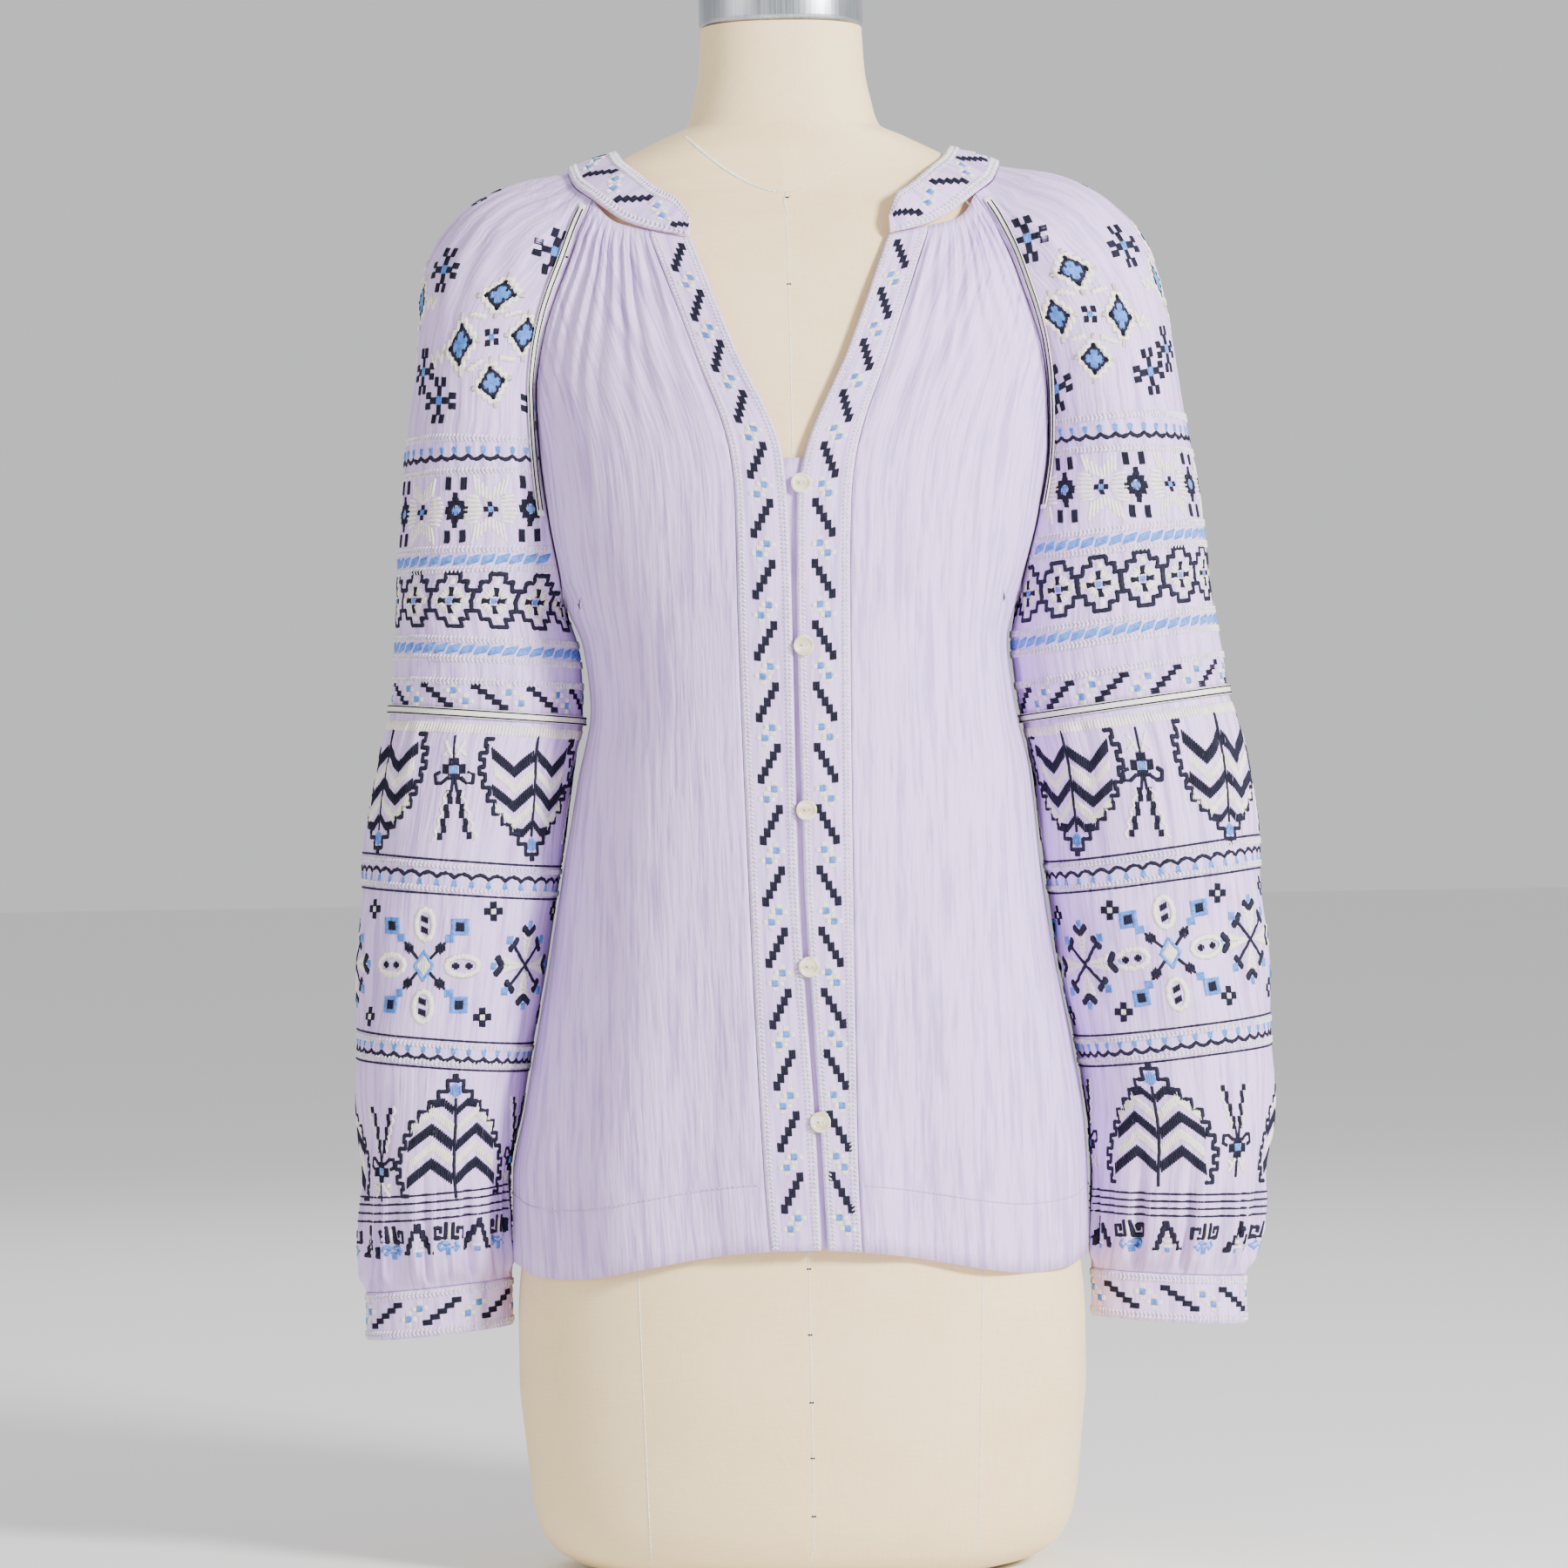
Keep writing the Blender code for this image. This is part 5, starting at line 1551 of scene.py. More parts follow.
@dataclass
class Bands:
    """Rows that run right across a face.

    Args:
        stitches: Where the stitches are kept.
        inset: How far the rows stay from the face's two ends, in metres.
        tilt: How much a row climbs outwards from the front line.
        slant: How far the motifs lean inwards for each millimetre up.
    """

    stitches: Stitches
    inset: float = 0.0015
    tilt: float = 0.0
    slant: float = 0.0

    def height(self, level: float, across: float) -> float:
        """A row's level at a distance across; the climb follows the sleeve's own roundness."""
        return level + self.tilt * SLEEVE_RADIUS * math.sin(across / SLEEVE_RADIUS)

    def chart(self, across: float, level: float, follow: bool = True, **settings: float) -> Chart:
        """A chart on the row with this level at the front line, turned to its climb if it follows."""
        made = Chart(self.stitches, across, self.height(level, across), slant=self.slant, **settings)
        if follow:
            slope = self.tilt * math.cos(across / SLEEVE_RADIUS)
            right, up = np.linalg.inv(made.axes) @ (1.0, slope)
            made.rise = float(up / right)
            made.slant += made.rise
        return made

    def _places(self, level: float, pitch: float) -> list[float]:
        low, high = self.stitches.face.span(level)
        first = math.ceil((low + self.inset) / pitch)
        last = math.floor((high - self.inset) / pitch)
        return [k * pitch for k in range(first, last + 1)]

    def repeat(
        self, motif: Callable[[Chart], None], level: float, pitch: float, start: float,
        follow: bool = False, **settings: float,
    ) -> None:
        """Draws a motif at a steady pitch in metres, one of them at start."""
        low, high = self.stitches.face.span(level)
        for k in range(-12, 40):
            at = start + k * pitch
            if low - 0.02 < at < high + 0.02:
                motif(self.chart(at, level, follow, **settings))

    def line(self, level: float, width: float = 1.5, yarn: Yarn = NAVY, step: float = 3.2) -> None:
        """A thin stitched line."""
        places = [(s, self.height(level, s)) for s in self._places(level, step * MM)]
        self.stitches.path(places, width * MM, yarn, step * MM, 0.8 * MM)

    def braid(self, level: float, width: float = 4.2) -> None:
        """A white herringbone braid."""
        half = width / 2 * MM / self.stitches.face.stretch(0.0, level)
        for s in self._places(level, BRAID_PITCH):
            for up in (-1, 1):
                at = self.height(level, s)
                ends = (s, at + up * half), (s + BRAID_LEAN, at - 0.1 * up * half)
                self.stitches.stitch(*ends, *BRAID_STITCH)

    def scallops(self, level: float, pitch: float, sag: float, cusps: float) -> None:
        """A row of black arcs with a blue drop at each cusp; cusps is 1 up or -1 down."""
        for s in self._places(level, pitch * MM):
            c = self.chart(s, level, upside=cusps)
            bow = [(pitch * t, -sag * math.sin(HALF_TURN * t)) for t in np.linspace(0, 1, 5)]
            c.line(bow, 2.7, NAVY, 2.8)
            for k in (-1, 0, 1):
                reach = 2.7 * (1 - 0.25 * abs(k))
                c.bar(k * 0.5, 3.4 - reach, k * 1.3, 3.4 + reach, 1.6, BLUE)

    def rope(self, level: float, lean: float) -> None:
        """Blue slanting blocks like a twisted rope."""
        for s in self._places(level, 8.5 * MM):
            c = self.chart(s, level, turned=lean)
            for k in range(6):
                x = -3.1 + 1.24 * k
                c.bar(x - 1.5, x * 0.25 - 2.6, x + 1.5, x * 0.25 + 2.6, 2.0, BLUE)

    def uprights(self, level: float, height: float, pitch: float, yarn: Yarn) -> None:
        """Dense upright stitches."""
        for s in self._places(level, pitch * MM):
            c = self.chart(s, level)
            c.bar(0.5, -height / 2, -0.5, height / 2, pitch * 1.05, yarn)


@dataclass(frozen=True)
class UpperRows:
    """Where the upper sleeve's rows lie.

    A row is its level and tilt, then the place and pitch of its motifs. A star is its place and
    its turn. The cluster is its place, slant and rise.
    """

    cluster: Row
    stars: tuple[Row, ...]
    scallops: Row
    flowers: Row
    ropes: tuple[Row, ...]
    octagons: Row
    last_braid: Row
    diagonals: Row
    slant: float


@dataclass(frozen=True)
class LowerRows:
    """Where the lower sleeve's rows lie, as on the upper one."""

    uprights: float
    leaf: Row
    spider: Row
    first_band: Row
    rosette: Row
    crosses: Row
    second_band: Row
    low_leaf: Row
    low_spider: Row
    lines: Row
    arches: Row
    slant: float


UPPER_ROWS = {
    Side.LEFT: UpperRows(
        cluster=(0.0013, 0.7161, 0.098, -0.12),
        stars=(
            (0.0495, 0.7350, 0.1), (-0.0010, 0.7740, 0.30), (0.0317, 0.6781, 0.05), (-0.0350, 0.6895, 0.0)
        ),
        scallops=(0.6641, 0.6549, 0.6470, -0.145),
        flowers=(0.6260, -0.100, -0.0013, 0.0198, 0.0460),
        ropes=((0.6041, 0.5982, 0.5928, -0.050), (0.5498, 0.5437, 0.5377, 0.0)),
        octagons=(0.5740, 0.0, 0.0170, 0.0270),
        last_braid=(0.5239, -0.02),
        diagonals=(0.5148, -0.02, -0.0045),
        slant=0.05,
    ),
    Side.RIGHT: UpperRows(
        cluster=(-0.0010, 0.7227, 0.210, 0.0),
        stars=(
            (0.0430, 0.7404, 0.22), (-0.0021, 0.7739, 0.24), (0.0302, 0.6856, 0.17), (-0.0345, 0.6935, 0.08)
        ),
        scallops=(0.6695, 0.6601, 0.6520, -0.145),
        flowers=(0.6314, -0.080, -0.0085, 0.0125, 0.0450),
        ropes=((0.6073, 0.6014, 0.5958, 0.0), (0.5548, 0.5487, 0.5427, 0.050)),
        octagons=(0.5770, 0.040, 0.0153, 0.0263),
        last_braid=(0.5238, 0.045),
        diagonals=(0.5130, 0.020, 0.0238),
        slant=0.12,
    ),
}
LOWER_ROWS = {
    Side.LEFT: LowerRows(
        uprights=0.4960,
        leaf=(0.4920, -0.0372, 0.1000),
        spider=(0.4738, 0.0093),
        first_band=(0.4222, 0.4190, 0.4125, 0.4060, 0.4028, 0.075),
        rosette=(0.3617, 0.0139, 0.0672, 0.030),
        crosses=(0.3935, 0.3318),
        second_band=(0.3192, 0.3160, 0.3098, 0.3058, 0.3028, 0.110),
        low_leaf=(0.2285, -0.0147, 0.0960),
        low_spider=(0.2445, 0.0333),
        lines=(0.2298, 0.2253, 0.2203, 0.2155),
        arches=(0.2045, 0.0075, 0.0360),
        slant=0.0,
    ),
    Side.RIGHT: LowerRows(
        uprights=0.4930,
        leaf=(0.4895, -0.0474, 0.0995),
        spider=(0.4704, -0.0032),
        first_band=(0.4231, 0.4200, 0.4135, 0.4072, 0.4042, 0.125),
        rosette=(0.3625, 0.0005, 0.0572, 0.150),
        crosses=(0.3925, 0.3326),
        second_band=(0.3190, 0.3158, 0.3092, 0.3040, 0.3008, 0.120),
        low_leaf=(0.2277, -0.0150, 0.1052),
        low_spider=(0.2485, 0.0320),
        lines=(0.2212, 0.2169, 0.2127, 0.2084),
        arches=(0.1972, -0.0078, 0.0455),
        slant=0.04,
    ),
}


def stitch_upper_sleeve(side: Side, stitches: Stitches) -> None:
    """The upper sleeve's embroidery, from the stars down to the elbow."""
    rows = UPPER_ROWS[side]
    across, level, slant, rise = rows.cluster
    for shift in (0.0, CLUSTER_PITCH, 2 * CLUSTER_PITCH):
        diamonds(Chart(stitches, across + shift, level, slant=slant, rise=rise))
        for star_across, star_level, turn in rows.stars:
            star(Chart(stitches, star_across + shift, star_level, slant=turn, rise=turn))

    def bands(tilt: float) -> Bands:
        return Bands(stitches, tilt=tilt, slant=rows.slant)

    high, middle, low, tilt = rows.scallops
    bands(tilt).braid(high)
    Bands(stitches, tilt=tilt).scallops(middle, 8.9, 2.2, 1)
    bands(tilt).braid(low)
    level, tilt, big, small, pitch = rows.flowers
    bands(tilt).repeat(daisy, level, pitch, big)
    bands(tilt).repeat(stepped_flower, level, pitch, small)
    for high, middle, low, tilt in rows.ropes:
        bands(tilt).braid(high)
        Bands(stitches, tilt=tilt).rope(middle, side.value)
        bands(tilt).braid(low)
    level, tilt, start, pitch = rows.octagons
    Bands(stitches, tilt=tilt).repeat(octagon, level, pitch, start, True)
    level, tilt = rows.last_braid
    bands(tilt).braid(level)

    def slanting(c: Chart) -> None:
        diagonal(c, 5.4, 2.9, 4.4, 2.9)
        little_flower(c, -10.8, 3.0)
        little_flower(c, -19.0, -3.0)

    level, tilt, start = rows.diagonals
    bands(tilt).repeat(slanting, level, DIAGONAL_PITCH, start, True)


def stitch_band_row(stitches: Stitches, row: Row, pitch: float, sag: float, cusps: float) -> None:
    """A row of scallops between two braids and two thin lines."""
    high, braid, middle, low_braid, low, tilt = row
    bands = Bands(stitches, tilt=tilt)
    bands.line(high)
    bands.braid(braid, 3.4)
    bands.scallops(middle, pitch, sag, cusps)
    bands.braid(low_braid, 3.4)
    bands.line(low)


def stitch_lower_sleeve(side: Side, stitches: Stitches) -> None:
    """The lower sleeve's embroidery, from the elbow down to the wrist."""
    rows = LOWER_ROWS[side]
    bands = Bands(stitches, slant=rows.slant)
    bands.uprights(rows.uprights, 6.6, 2.0, IVORY)
    level, start, pitch = rows.leaf
    bands.repeat(leaf, level, pitch, start, middle=-32.0, size=1.07)
    bands.repeat(spider, rows.spider[0], pitch, rows.spider[1], middle=-20.0)
    stitch_band_row(stitches, rows.first_band, 10.4, 2.6, -1)
    level, start, spacing, tilt = rows.rosette
    turned = Bands(stitches, tilt=tilt)
    turned.repeat(rosette, level, 2 * spacing, start, True)
    turned.repeat(wheel, level, 2 * spacing, start + spacing, True)
    for cross_level in rows.crosses:
        for way in BOTH:
            turned.repeat(small_cross, cross_level, 2 * spacing, start + way * 0.58 * spacing)
    stitch_band_row(stitches, rows.second_band, 9.2, 2.4, 1)
    level, start, pitch = rows.low_leaf
    bands.repeat(leaf, level, pitch, start, upside=-1, middle=-32.0, size=1.08)
    bands.repeat(spider, rows.low_spider[0], pitch, rows.low_spider[1], upside=-1, size=0.92)
    for level in rows.lines:
        bands.line(level, step=1.8)
    level, start, pitch = rows.arches
    bands.repeat(arch, level, pitch, start)
    bands.repeat(hooks, level, pitch, start + pitch / 2, size=0.92)


def stitch_cuff(side: Side, stitches: Stitches) -> None:
    """The cuff's braids, diagonals and small flowers."""
    bands = Bands(stitches)
    for level in (3.2 * MM, CUFF_DEPTH - 3.2 * MM):
        bands.braid(level)

    def slanting(c: Chart) -> None:
        diagonal(c, 5.6, 2.9, -4.4, 2.9)
        little_flower(c, 13.6, 2.8)
        little_flower(c, 20.6, -3.0)

    bands.repeat(slanting, CUFF_DEPTH / 2, CUFF_PITCH, 0.0040 * side.value)


def stitch_hem(stitches: Stitches) -> None:
    """A line of sewing a hem's depth above the edge."""
    Bands(stitches).line(HEM_DEPTH, 0.7, SEWING)


def stitch_strip(stitches: Stitches) -> None:
    """Braids on both edges of an upright strip, with diagonals and flowers between."""
    face = stitches.face
    length = float(face.levels[-1])
    for k in range(int(length / BRAID_PITCH)):
        level = (k + 0.5) * BRAID_PITCH
        low, high = face.span(level)
        for side, edge in ((1, high), (-1, low)):
            middle = edge - side * 2.8 * MM
            for way in BOTH:
                far, near = middle + way * 2.1 * MM, middle - way * 0.2 * MM
                stitches.stitch((far, level), (near, level + BRAID_LEAN), *BRAID_STITCH)
    first = float(np.interp(STRIP_START, face.grid[:, face.grid.shape[1] // 2, 2], face.levels))
    below, above = STRIP_PITCHES
    levels = [first - k * below for k in range(20)] + [first + k * above for k in range(1, 12)]
    for level in levels:
        if not 0.004 < level < length:
            continue
        diagonal(Chart(stitches, 0.0, level), 3.6, 5.0, -2.5, 4.6, True)
        for x, y in ((-2.3, -14.6), (2.3, -20.8)):
            little_flower(Chart(stitches, x * MM, max(level + y * MM, 0.0)))


def stitch_band(stitches: Stitches) -> None:
    """The neck band's braids, diagonals and flowers."""
    bands, width = Bands(stitches), float(stitches.face.levels[-1])
    for level in (3.2 * MM, width - 3.2 * MM):
        bands.braid(level, 4.6)
    low, high = stitches.face.span(width / 2)
    for k in range(int((high - low) / BAND_PITCH) + 1):
        at = low + 0.012 + k * BAND_PITCH
        c = Chart(stitches, at, width / 2, turned=-1.0 if at < 0 else 1.0)
        diagonal(c, 3.4, 4.6, 3.1, 2.9, True)
        little_flower(c, 14.6, 2.6)
        little_flower(c, 21.6, -2.6)


# Assemblies


FORM_SEAMS = (
    (0.0050, 0.0019, 0.010, 0.814),
    (-0.0900, -0.0950, 0.012, 0.190),
    (0.1000, 0.1055, 0.012, 0.190),
)
WELT_WIDTH, WELT_HEIGHT = 1.1 * MM, 0.28 * MM
NECK_SEAM_HEIGHT, NECK_SEAM_RISE, NECK_SEAM_HALF = 0.8140, 0.0355, 0.058
TACK_HEIGHTS = (0.8105, 0.7570, 0.1846, 0.1466, 0.1076, 0.0754, 0.0416)
TACK_X, TACK_LEAN, TACK_HALF = 0.0050, -0.003827, 1.4 * MM
CAP_OVERHANG, CAP_GAP, CAP_RIM = 1.02, 0.0003, 0.0035


@dataclass
class DressForm:
    """The limbless form: linen cover, seams, tacks and a steel neck cap."""

    kit: Kit

    def build(self) -> None:
        """Makes the form and its cap."""
        self._body()
        self._cap()
        self._seams()

    def _body(self) -> None:
        """The whole torso and neck, closed above and below."""
        z, turn = lattice(dense(FORM.keys, 150), np.linspace(0, 2 * HALF_TURN, 109))
        grid = form_point(z, turn)
        mesh = mesh_from("form_body", grid[:, :-1], grid_faces(150, 108, True))
        lay_uv(mesh, np.stack((run_along(grid, 1), run_along(grid, 0)), axis=-1))
        made = new_object("form_body", mesh, self.kit.linen)
        select_only(made)
        bpy.ops.object.mode_set(mode="EDIT")
        bpy.ops.mesh.select_all(action="DESELECT")
        bpy.ops.mesh.select_non_manifold()
        bpy.ops.mesh.fill_holes(sides=0)
        bpy.ops.mesh.select_all(action="SELECT")
        bpy.ops.mesh.normals_make_consistent(inside=False)
        bpy.ops.object.mode_set(mode="OBJECT")
        mesh.set_sharp_from_angle(angle=math.radians(50))
        keep(made, "form_linen", "dress_form")

    def _cap(self) -> None:
        """A steel cap with a rolled rim and a flat top."""
        top = float(FORM.keys[-1])
        middle_y = float(FORM.at("centre_y", top))
        centre = (0, 0, top + CAP_GAP + CAP_HEIGHT / 2)
        bpy.ops.mesh.primitive_cylinder_add(vertices=160, radius=1.0, depth=CAP_HEIGHT, location=centre)
        made = bpy.context.object
        made.name = made.data.name = "steel_neck_cap"
        bpy.ops.object.transform_apply(location=True)
        spots = np.empty(len(made.data.vertices) * 3)
        made.data.vertices.foreach_get("co", spots)
        spots = spots.reshape(-1, 3)
        turn = np.arctan2(spots[:, 0], -spots[:, 1])
        ring = form_point(np.full(len(turn), top), turn)
        spots[:, 0] = ring[:, 0] * CAP_OVERHANG
        spots[:, 1] = (ring[:, 1] - middle_y) * CAP_OVERHANG + middle_y
        made.data.vertices.foreach_set("co", (spots + FRAME_SHIFT).reshape(-1))
        apply_modifier(made, "BEVEL", width=CAP_RIM, segments=5, limit_method="ANGLE")
        made.data.materials.append(self.kit.steel)
        made.data.shade_smooth()
        made.data.set_sharp_from_angle(angle=math.radians(40))
        keep(made, "cap_steel", "neck_cap")

    def _seams(self) -> None:
        """Raised welts along the cover's seams, with small dark tacks in front."""
        heights = np.linspace(0.001, 0.9145, 200)
        z, turn = lattice(heights, np.linspace(-HALF_TURN / 2, HALF_TURN / 2, 181))
        grid = form_point(z, turn)
        face = Face(grid, heights, run_along(grid, 1))
        stitches = Stitches(face)

        def at(x: float, level: float) -> Spot:
            k = int(np.clip(np.searchsorted(heights, level), 1, len(heights) - 1))
            rows = [float(np.interp(x, grid[i, :, 0], face.across[i])) for i in (k - 1, k)]
            return float(np.interp(level, heights[k - 1 : k + 1], rows)), level

        for x_low, x_high, low, high in FORM_SEAMS:
            shares = np.linspace(0, 1, 60)
            places = [at(x_low + (x_high - x_low) * t, low + (high - low) * t) for t in shares]
            stitches.path(places, WELT_WIDTH, IVORY, 4.0 * MM, WELT_HEIGHT)
        neck = []
        for x in np.linspace(-NECK_SEAM_HALF, NECK_SEAM_HALF, 40):
            rise = NECK_SEAM_RISE * (abs(x) / NECK_SEAM_HALF) ** 1.7
            neck.append(at(x, NECK_SEAM_HEIGHT + rise))
        stitches.path(neck, WELT_WIDTH, IVORY, 3.5 * MM, WELT_HEIGHT)
        for level in TACK_HEIGHTS:
            across, _ = at(TACK_X + TACK_LEAN * (level - FORM_SEAMS[0][2]), level)
            ends = [(across + way * TACK_HALF, level) for way in (-1, 1)]
            stitches.stitch(*ends, 1.2 * MM, NAVY, 0.5 * MM)
        stitches.build("form_cover_seams", self.kit, "form_linen")


@dataclass
class Blouse:
    """The blouse: its cut pieces, trims and stitching."""

    kit: Kit

    def build(self) -> None:
        """Makes every piece."""
        for side in Side:
            word = side.word
            panel = front_face(side)
            self._sheet(f"front_panel_{word}", panel, f"front_{word}", stitch_hem)
            self._sleeve(side)
            strip = strip_face(side)
            self._sheet(f"strip_{word}", strip, f"front_strip_{word}", stitch_strip, firm=True)
        self._sheet("back_panel", back_face(), "back", stitch_hem)
        self._sheet("underlap_strip", underlap_face(), "underlap")
        self._sheet("neck_band_cloth", band_face(), "neck_band", stitch_band, firm=True)
        for number, height in enumerate(BUTTON_HEIGHTS, 1):
            shift = LOWEST_BUTTON_SHIFT if number == len(BUTTON_HEIGHTS) else 0.0
            self._button(number, height, BUTTON_X + shift)

    def _sheet(
        self, name: str, face: Face, node: str,
        stitching: Optional[Callable[[Stitches], None]] = None,
        trims: Sequence[bpy.types.Object] = (), closed: bool = False, firm: bool = False,
    ) -> None:
        """Makes a cloth piece with its stitching and logs its cut.

        Args:
            name: The piece's name.
            face: Its outer face.
            node: The node it stands for.
            stitching: Fills the stitches laid on it.
            trims: Other pieces that go with it; not used.
            closed: Whether its rows close into rings.
            firm: Whether it is a thicker, flatter band.
        """
        finish, slot, wall = self.kit.gauze, "lilac_gauze", CLOTH_WALL
        if firm:
            finish, slot, wall = self.kit.firm_gauze, "embroidered_gauze", BAND_WALL
        cloth = Cloth(name, face, wall, closed)
        made = cloth.build(finish, slot, node)
        pieces = list(trims)
        if stitching:
            stitches = Stitches(face)
            stitching(stitches)
            pieces.append(stitches.build(f"{name}_stitching", self.kit, "embroidered_gauze"))
        flat, area = cloth.cut()
        LOG.info("%s cut %.3f x %.3f m", name, *flat)

    def _sleeve(self, side: Side) -> None:
        """The upper and lower sleeve, the cuff and the tapes."""
        word = side.word
        tapes = self._raglan_tape(side, False) + self._raglan_tape(side, True)
        self._sheet(
            f"upper_sleeve_{word}", upper_sleeve_face(side), f"sleeve_upper_{word}",
            partial(stitch_upper_sleeve, side), tapes,
        )
        self._sheet(
            f"lower_sleeve_{word}", lower_sleeve_face(side), f"sleeve_lower_{word}",
            partial(stitch_lower_sleeve, side), self._elbow_tape(side), closed=True,
        )
        self._sheet(
            f"cuff_band_{word}", cuff_face(side), f"cuff_{word}",
            partial(stitch_cuff, side), closed=True, firm=True,
        )

    def _tape(self, name: str, face: Face, node: str, closed: bool) -> list[bpy.types.Object]:
        """A narrow tape with a dark line of stitches along each edge."""
        made = Cloth(name, face, TRIM_WALL, closed).build(self.kit.tape, "ivory_tape", node)
        stitches = Stitches(face)
        for level in (TAPE_LINE_INSET, float(face.levels[-1]) - TAPE_LINE_INSET):
            Bands(stitches, 0.0005).line(level, 1.0)
        return [made, stitches.build(f"{name}_stitching", self.kit, "ivory_tape")]

    def _elbow_tape(self, side: Side) -> list[bpy.types.Object]:
        """The ivory tape round the seam at the elbow."""
        half = ELBOW_TAPE_WIDTH / 2
        level, place = lattice(np.linspace(-half, half, 5), np.linspace(0, 1, 221))
        grid = sleeve_ring(side, ELBOW_HEIGHT[side] + level, place, ELBOW_TAPE_LIFT)
        grid[:, -1] = grid[:, 0]
        face = Face(grid, level[:, 0] + half, from_front_line(grid), side is Side.LEFT)
        return self._tape(f"elbow_band_{side.word}", face, f"elbow_tape_{side.word}", True)

    def _raglan_tape(self, side: Side, back: bool) -> list[bpy.types.Object]:
        """A tape beside one raglan seam, from the neck band to the underarm."""
        shares = np.linspace(0.0, 1.0, 5)
        columns = []
        for height in np.linspace(*RAGLAN_TAPE_ENDS, 90):
            place = np.linspace(0.0, 1.0, 241)[:: -1 if back else 1]
            ring = sleeve_grid(side, np.full(241, height), place)
            at = np.interp(
                RAGLAN_TAPE_INSET + RAGLAN_TAPE_WIDTH * shares, run_along(ring[None], 1)[0], place
            )
            columns.append(sleeve_grid(side, np.full(5, height), at, RAGLAN_TAPE_LIFT))
        grid = np.stack(columns, axis=1)
        across = np.broadcast_to(run_along(grid, 1)[2], grid.shape[:2]).copy()
        face = Face(grid, RAGLAN_TAPE_WIDTH * shares, across, (side is Side.LEFT) != back)
        end = f"{'back' if back else 'front'}_{side.word}"
        return self._tape(f"raglan_band_{end}", face, f"raglan_tape_{end}", False)

    def _button(self, number: int, height: float, x: float) -> None:
        """A dished two-hole button, sewn on with ivory thread."""
        low, high = float(hem_height(np.array(0.0))), float(BAND.at("outer_z", 0.0))
        levels = np.array([low + (high - low) * level for level in PANEL_LEVELS])
        k = int(np.searchsorted(levels, height))
        below, above = (front_point(z, x, SEAM_GAP) for z in levels[k - 1 : k + 1])
        base = below + (above - below) * (height - below[2]) / (above[2] - below[2])
        tilt = math.atan2(above[1] - below[1], above[2] - below[2])
        bpy.ops.mesh.primitive_cylinder_add(
            vertices=64, radius=BUTTON_RADIUS, depth=BUTTON_THICKNESS, location=(0, 0, BUTTON_THICKNESS / 2)
        )
        made = bpy.context.object
        made.name = made.data.name = f"shell_button_{number}"
        bpy.ops.object.transform_apply(location=True)
        select_only(made)
        bpy.ops.object.mode_set(mode="EDIT")
        bpy.ops.mesh.select_all(action="DESELECT")
        bpy.ops.object.mode_set(mode="OBJECT")
        for face in made.data.polygons:
            face.select = face.normal.z > 0.9
        bpy.ops.object.mode_set(mode="EDIT")
        bpy.ops.mesh.inset(thickness=BUTTON_RADIUS * 0.24, depth=0)
        bpy.ops.mesh.inset(thickness=BUTTON_RADIUS * 0.13, depth=-BUTTON_THICKNESS * 0.25)
        bpy.ops.object.mode_set(mode="OBJECT")
        apply_modifier(made, "BEVEL", width=BUTTON_EDGE, segments=3)
        for i in (-1, 1):
            self._drill(made, i * BUTTON_HOLE_X)
        self._set_on(made, base, tilt, self.kit.shell)
        made.data.set_sharp_from_angle(angle=math.radians(38))
        keep(made, "button_shell", f"button_{number}")
        self._button_thread(number, base, tilt)

    def _drill(self, made: bpy.types.Object, x: float) -> None:
        """Cuts one hole through a button that lies flat."""
        bpy.ops.mesh.primitive_cylinder_add(
            vertices=20, radius=BUTTON_HOLE_RADIUS, depth=0.01, location=(x, 0.0, 0.0)
        )
        tool = bpy.context.object
        apply_modifier(made, "BOOLEAN", operation="DIFFERENCE", object=tool, solver="EXACT")
        bpy.data.objects.remove(tool, do_unlink=True)

    def _button_thread(self, number: int, base: Point, tilt: float) -> None:
        """A loop of strands through a button's holes."""
        bpy.ops.mesh.primitive_torus_add(
            major_segments=40, minor_segments=10,
            major_radius=BUTTON_HOLE_X, minor_radius=BUTTON_THREAD_RADIUS,
        )
        made = bpy.context.object
        made.name = made.data.name = f"button_thread_{number}"
        made.rotation_euler = (HALF_TURN / 2, 0.0, 0.0)
        bpy.ops.object.transform_apply(rotation=True)
        made.location = (0.0, 0.0, BUTTON_THICKNESS * 0.42)
        bpy.ops.object.transform_apply(location=True)
        self._set_on(made, base, tilt, self.kit.threads[IVORY.value])
        keep(made, "button_shell")

    def _set_on(self, made: bpy.types.Object, base: Point, tilt: float, finish: bpy.types.Material) -> None:
        """Puts a piece that lies flat at the origin on to the front."""
        made.location = base - np.array((0.0, SEAM_GAP * 0.5, 0.0)) + FRAME_SHIFT
        made.rotation_euler = (HALF_TURN / 2 - tilt, 0.0, 0.0)
        select_only(made)
        bpy.ops.object.transform_apply(location=True, rotation=True)
        made.data.materials.clear()
        made.data.materials.append(finish)
        made.data.shade_smooth()


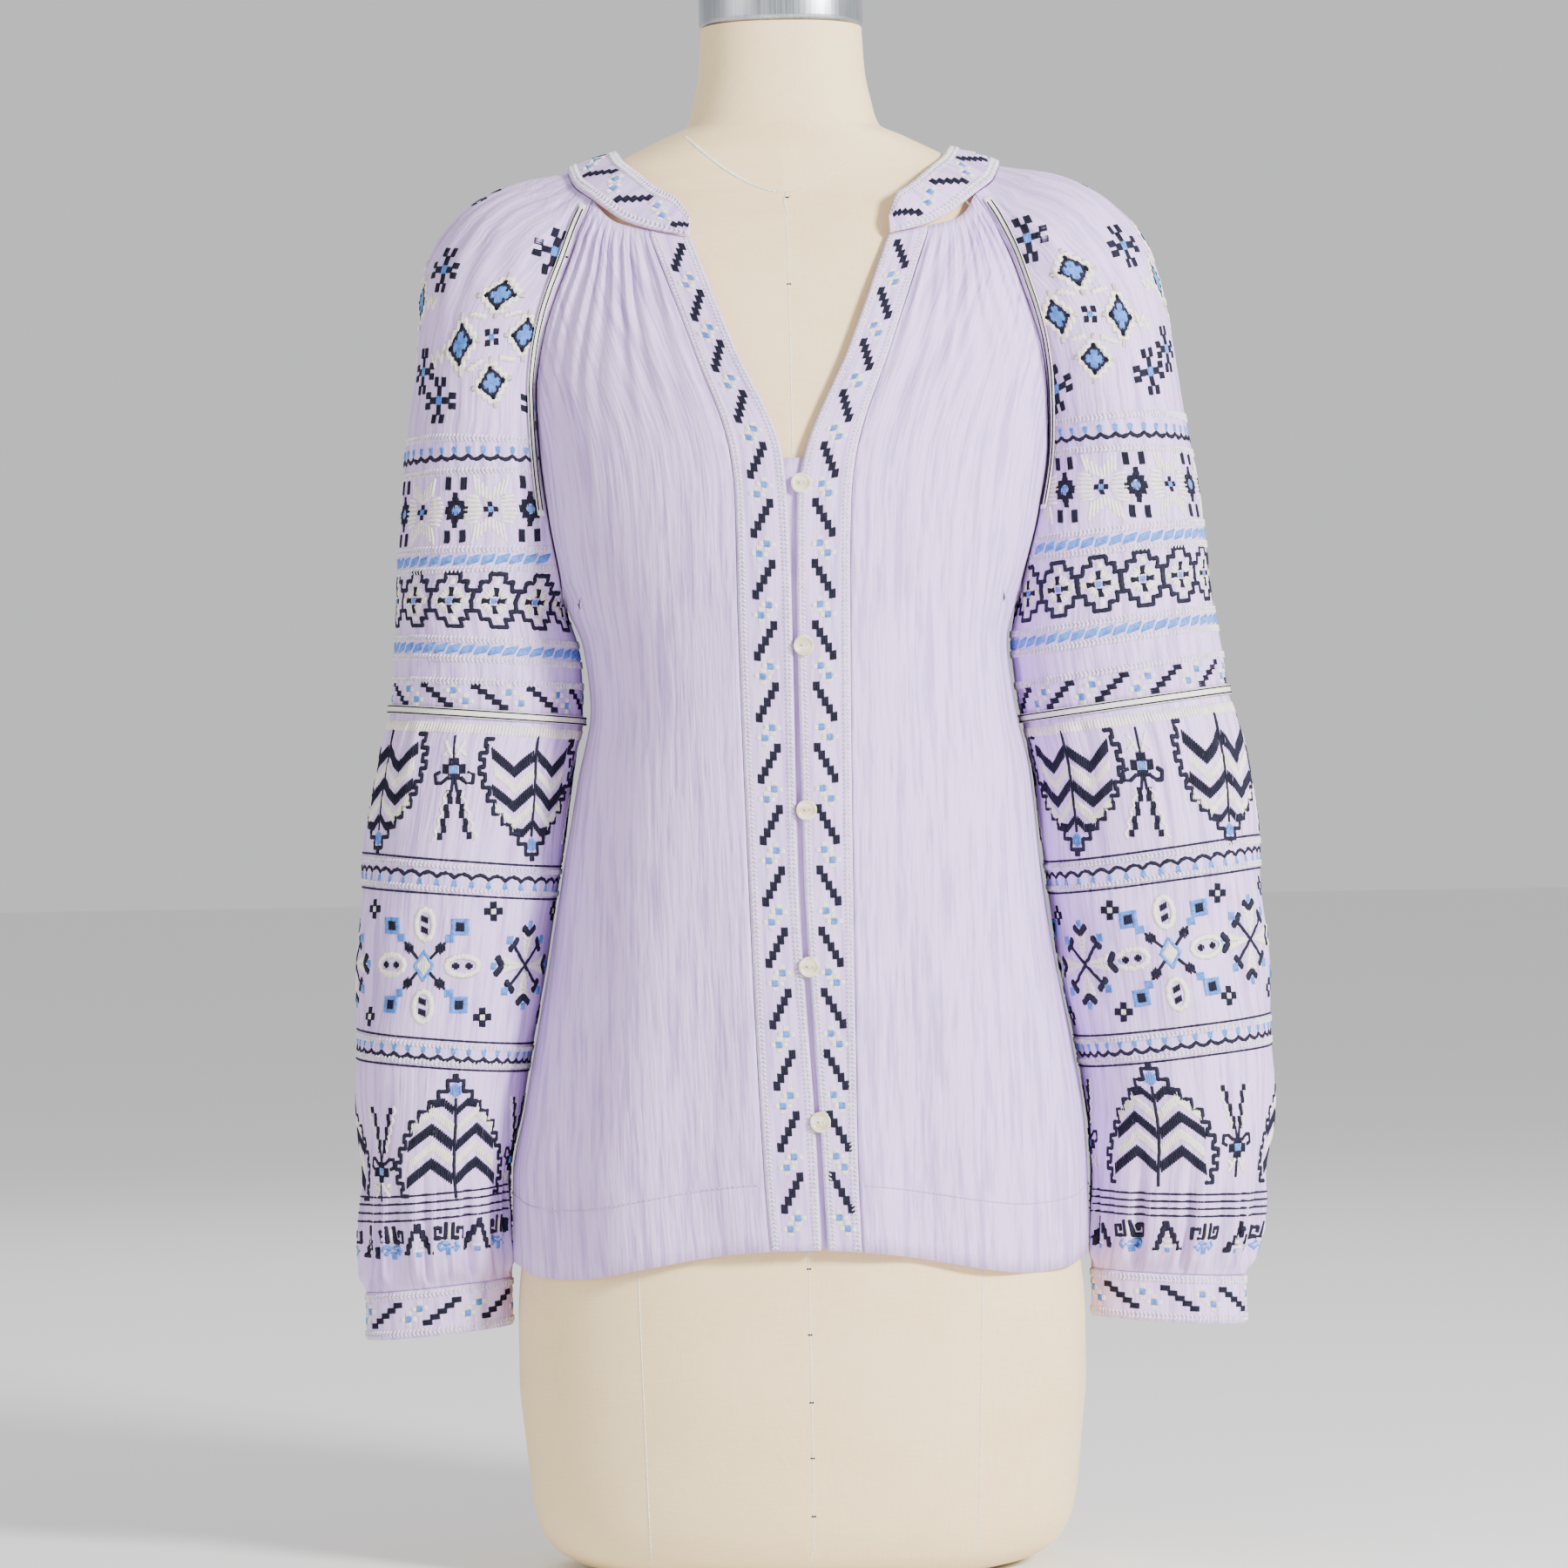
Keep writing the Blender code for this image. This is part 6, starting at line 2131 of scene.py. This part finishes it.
FLOOR_SIZE = 40
WORLD_COLOUR, WORLD_STRENGTH = (0.93, 0.93, 0.95, 1.0), 0.76
LIGHTS = (
    ("key", (2.1, -2.1, 1.6), 0.7, 215),
    ("fill", (-2.2, -2.0, 1.2), 1.8, 15),
    ("rim", (-0.6, 2.3, 2.2), 1.4, 26),
)
LIGHT_AIM = (0.0, 0.0, 0.5)


@dataclass
class Studio:
    """Pale floor, soft lights and the camera at the photograph's angle."""

    sensor: float = 36.0
    lens: float = 134.6
    place: tuple[float, float, float] = (-0.0151, -3.501, 0.465)
    roll: float = math.radians(0.936)

    def build(self) -> None:
        """Sets the floor, the world, the lights and the camera."""
        bpy.ops.mesh.primitive_plane_add(size=FLOOR_SIZE, location=(0, 0, 0))
        floor = bpy.context.object
        floor.name = floor.data.name = "studio_floor"
        floor.data.materials.append(Floor("pale_floor").material())
        world = bpy.data.worlds.new("pale_studio")
        world.use_nodes = True
        back = world.node_tree.nodes["Background"]
        back.inputs["Color"].default_value = WORLD_COLOUR
        back.inputs["Strength"].default_value = WORLD_STRENGTH
        bpy.context.scene.world = world
        for light in LIGHTS:
            self._light(*light)
        self._camera()

    def _light(self, name: str, at: tuple[float, float, float], size: float, power: float) -> None:
        """A round soft light aimed at the middle of the blouse."""
        data = bpy.data.lights.new(name, "AREA")
        data.shape, data.size, data.energy = "DISK", size, power
        made = bpy.data.objects.new(name, data)
        bpy.context.scene.collection.objects.link(made)
        x, y, z = np.array(LIGHT_AIM) - np.array(at)
        made.location = at
        made.rotation_euler = (math.atan2(math.hypot(x, y), -z), 0.0, math.atan2(-x, y))

    def _camera(self) -> None:
        """The camera where the photograph was taken from."""
        data = bpy.data.cameras.new("camera")
        data.sensor_width, data.lens = self.sensor, self.lens
        made = bpy.data.objects.new("camera", data)
        made.location = self.place
        made.rotation_euler = (HALF_TURN / 2, self.roll, 0.0)
        bpy.context.scene.collection.objects.link(made)
        bpy.context.scene.camera = made


def corners(box: Sequence[Sequence[float]]) -> list[list[float]]:
    """A box as plain lists."""
    return [[float(value) for value in corner] for corner in box]


def main() -> None:
    """Builds the form, the blouse, the studio and the camera."""
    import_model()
    kit = Kit()
    DressForm(kit).build()
    Blouse(kit).build()
    Studio().build()


if __name__ == "__main__":
    main()
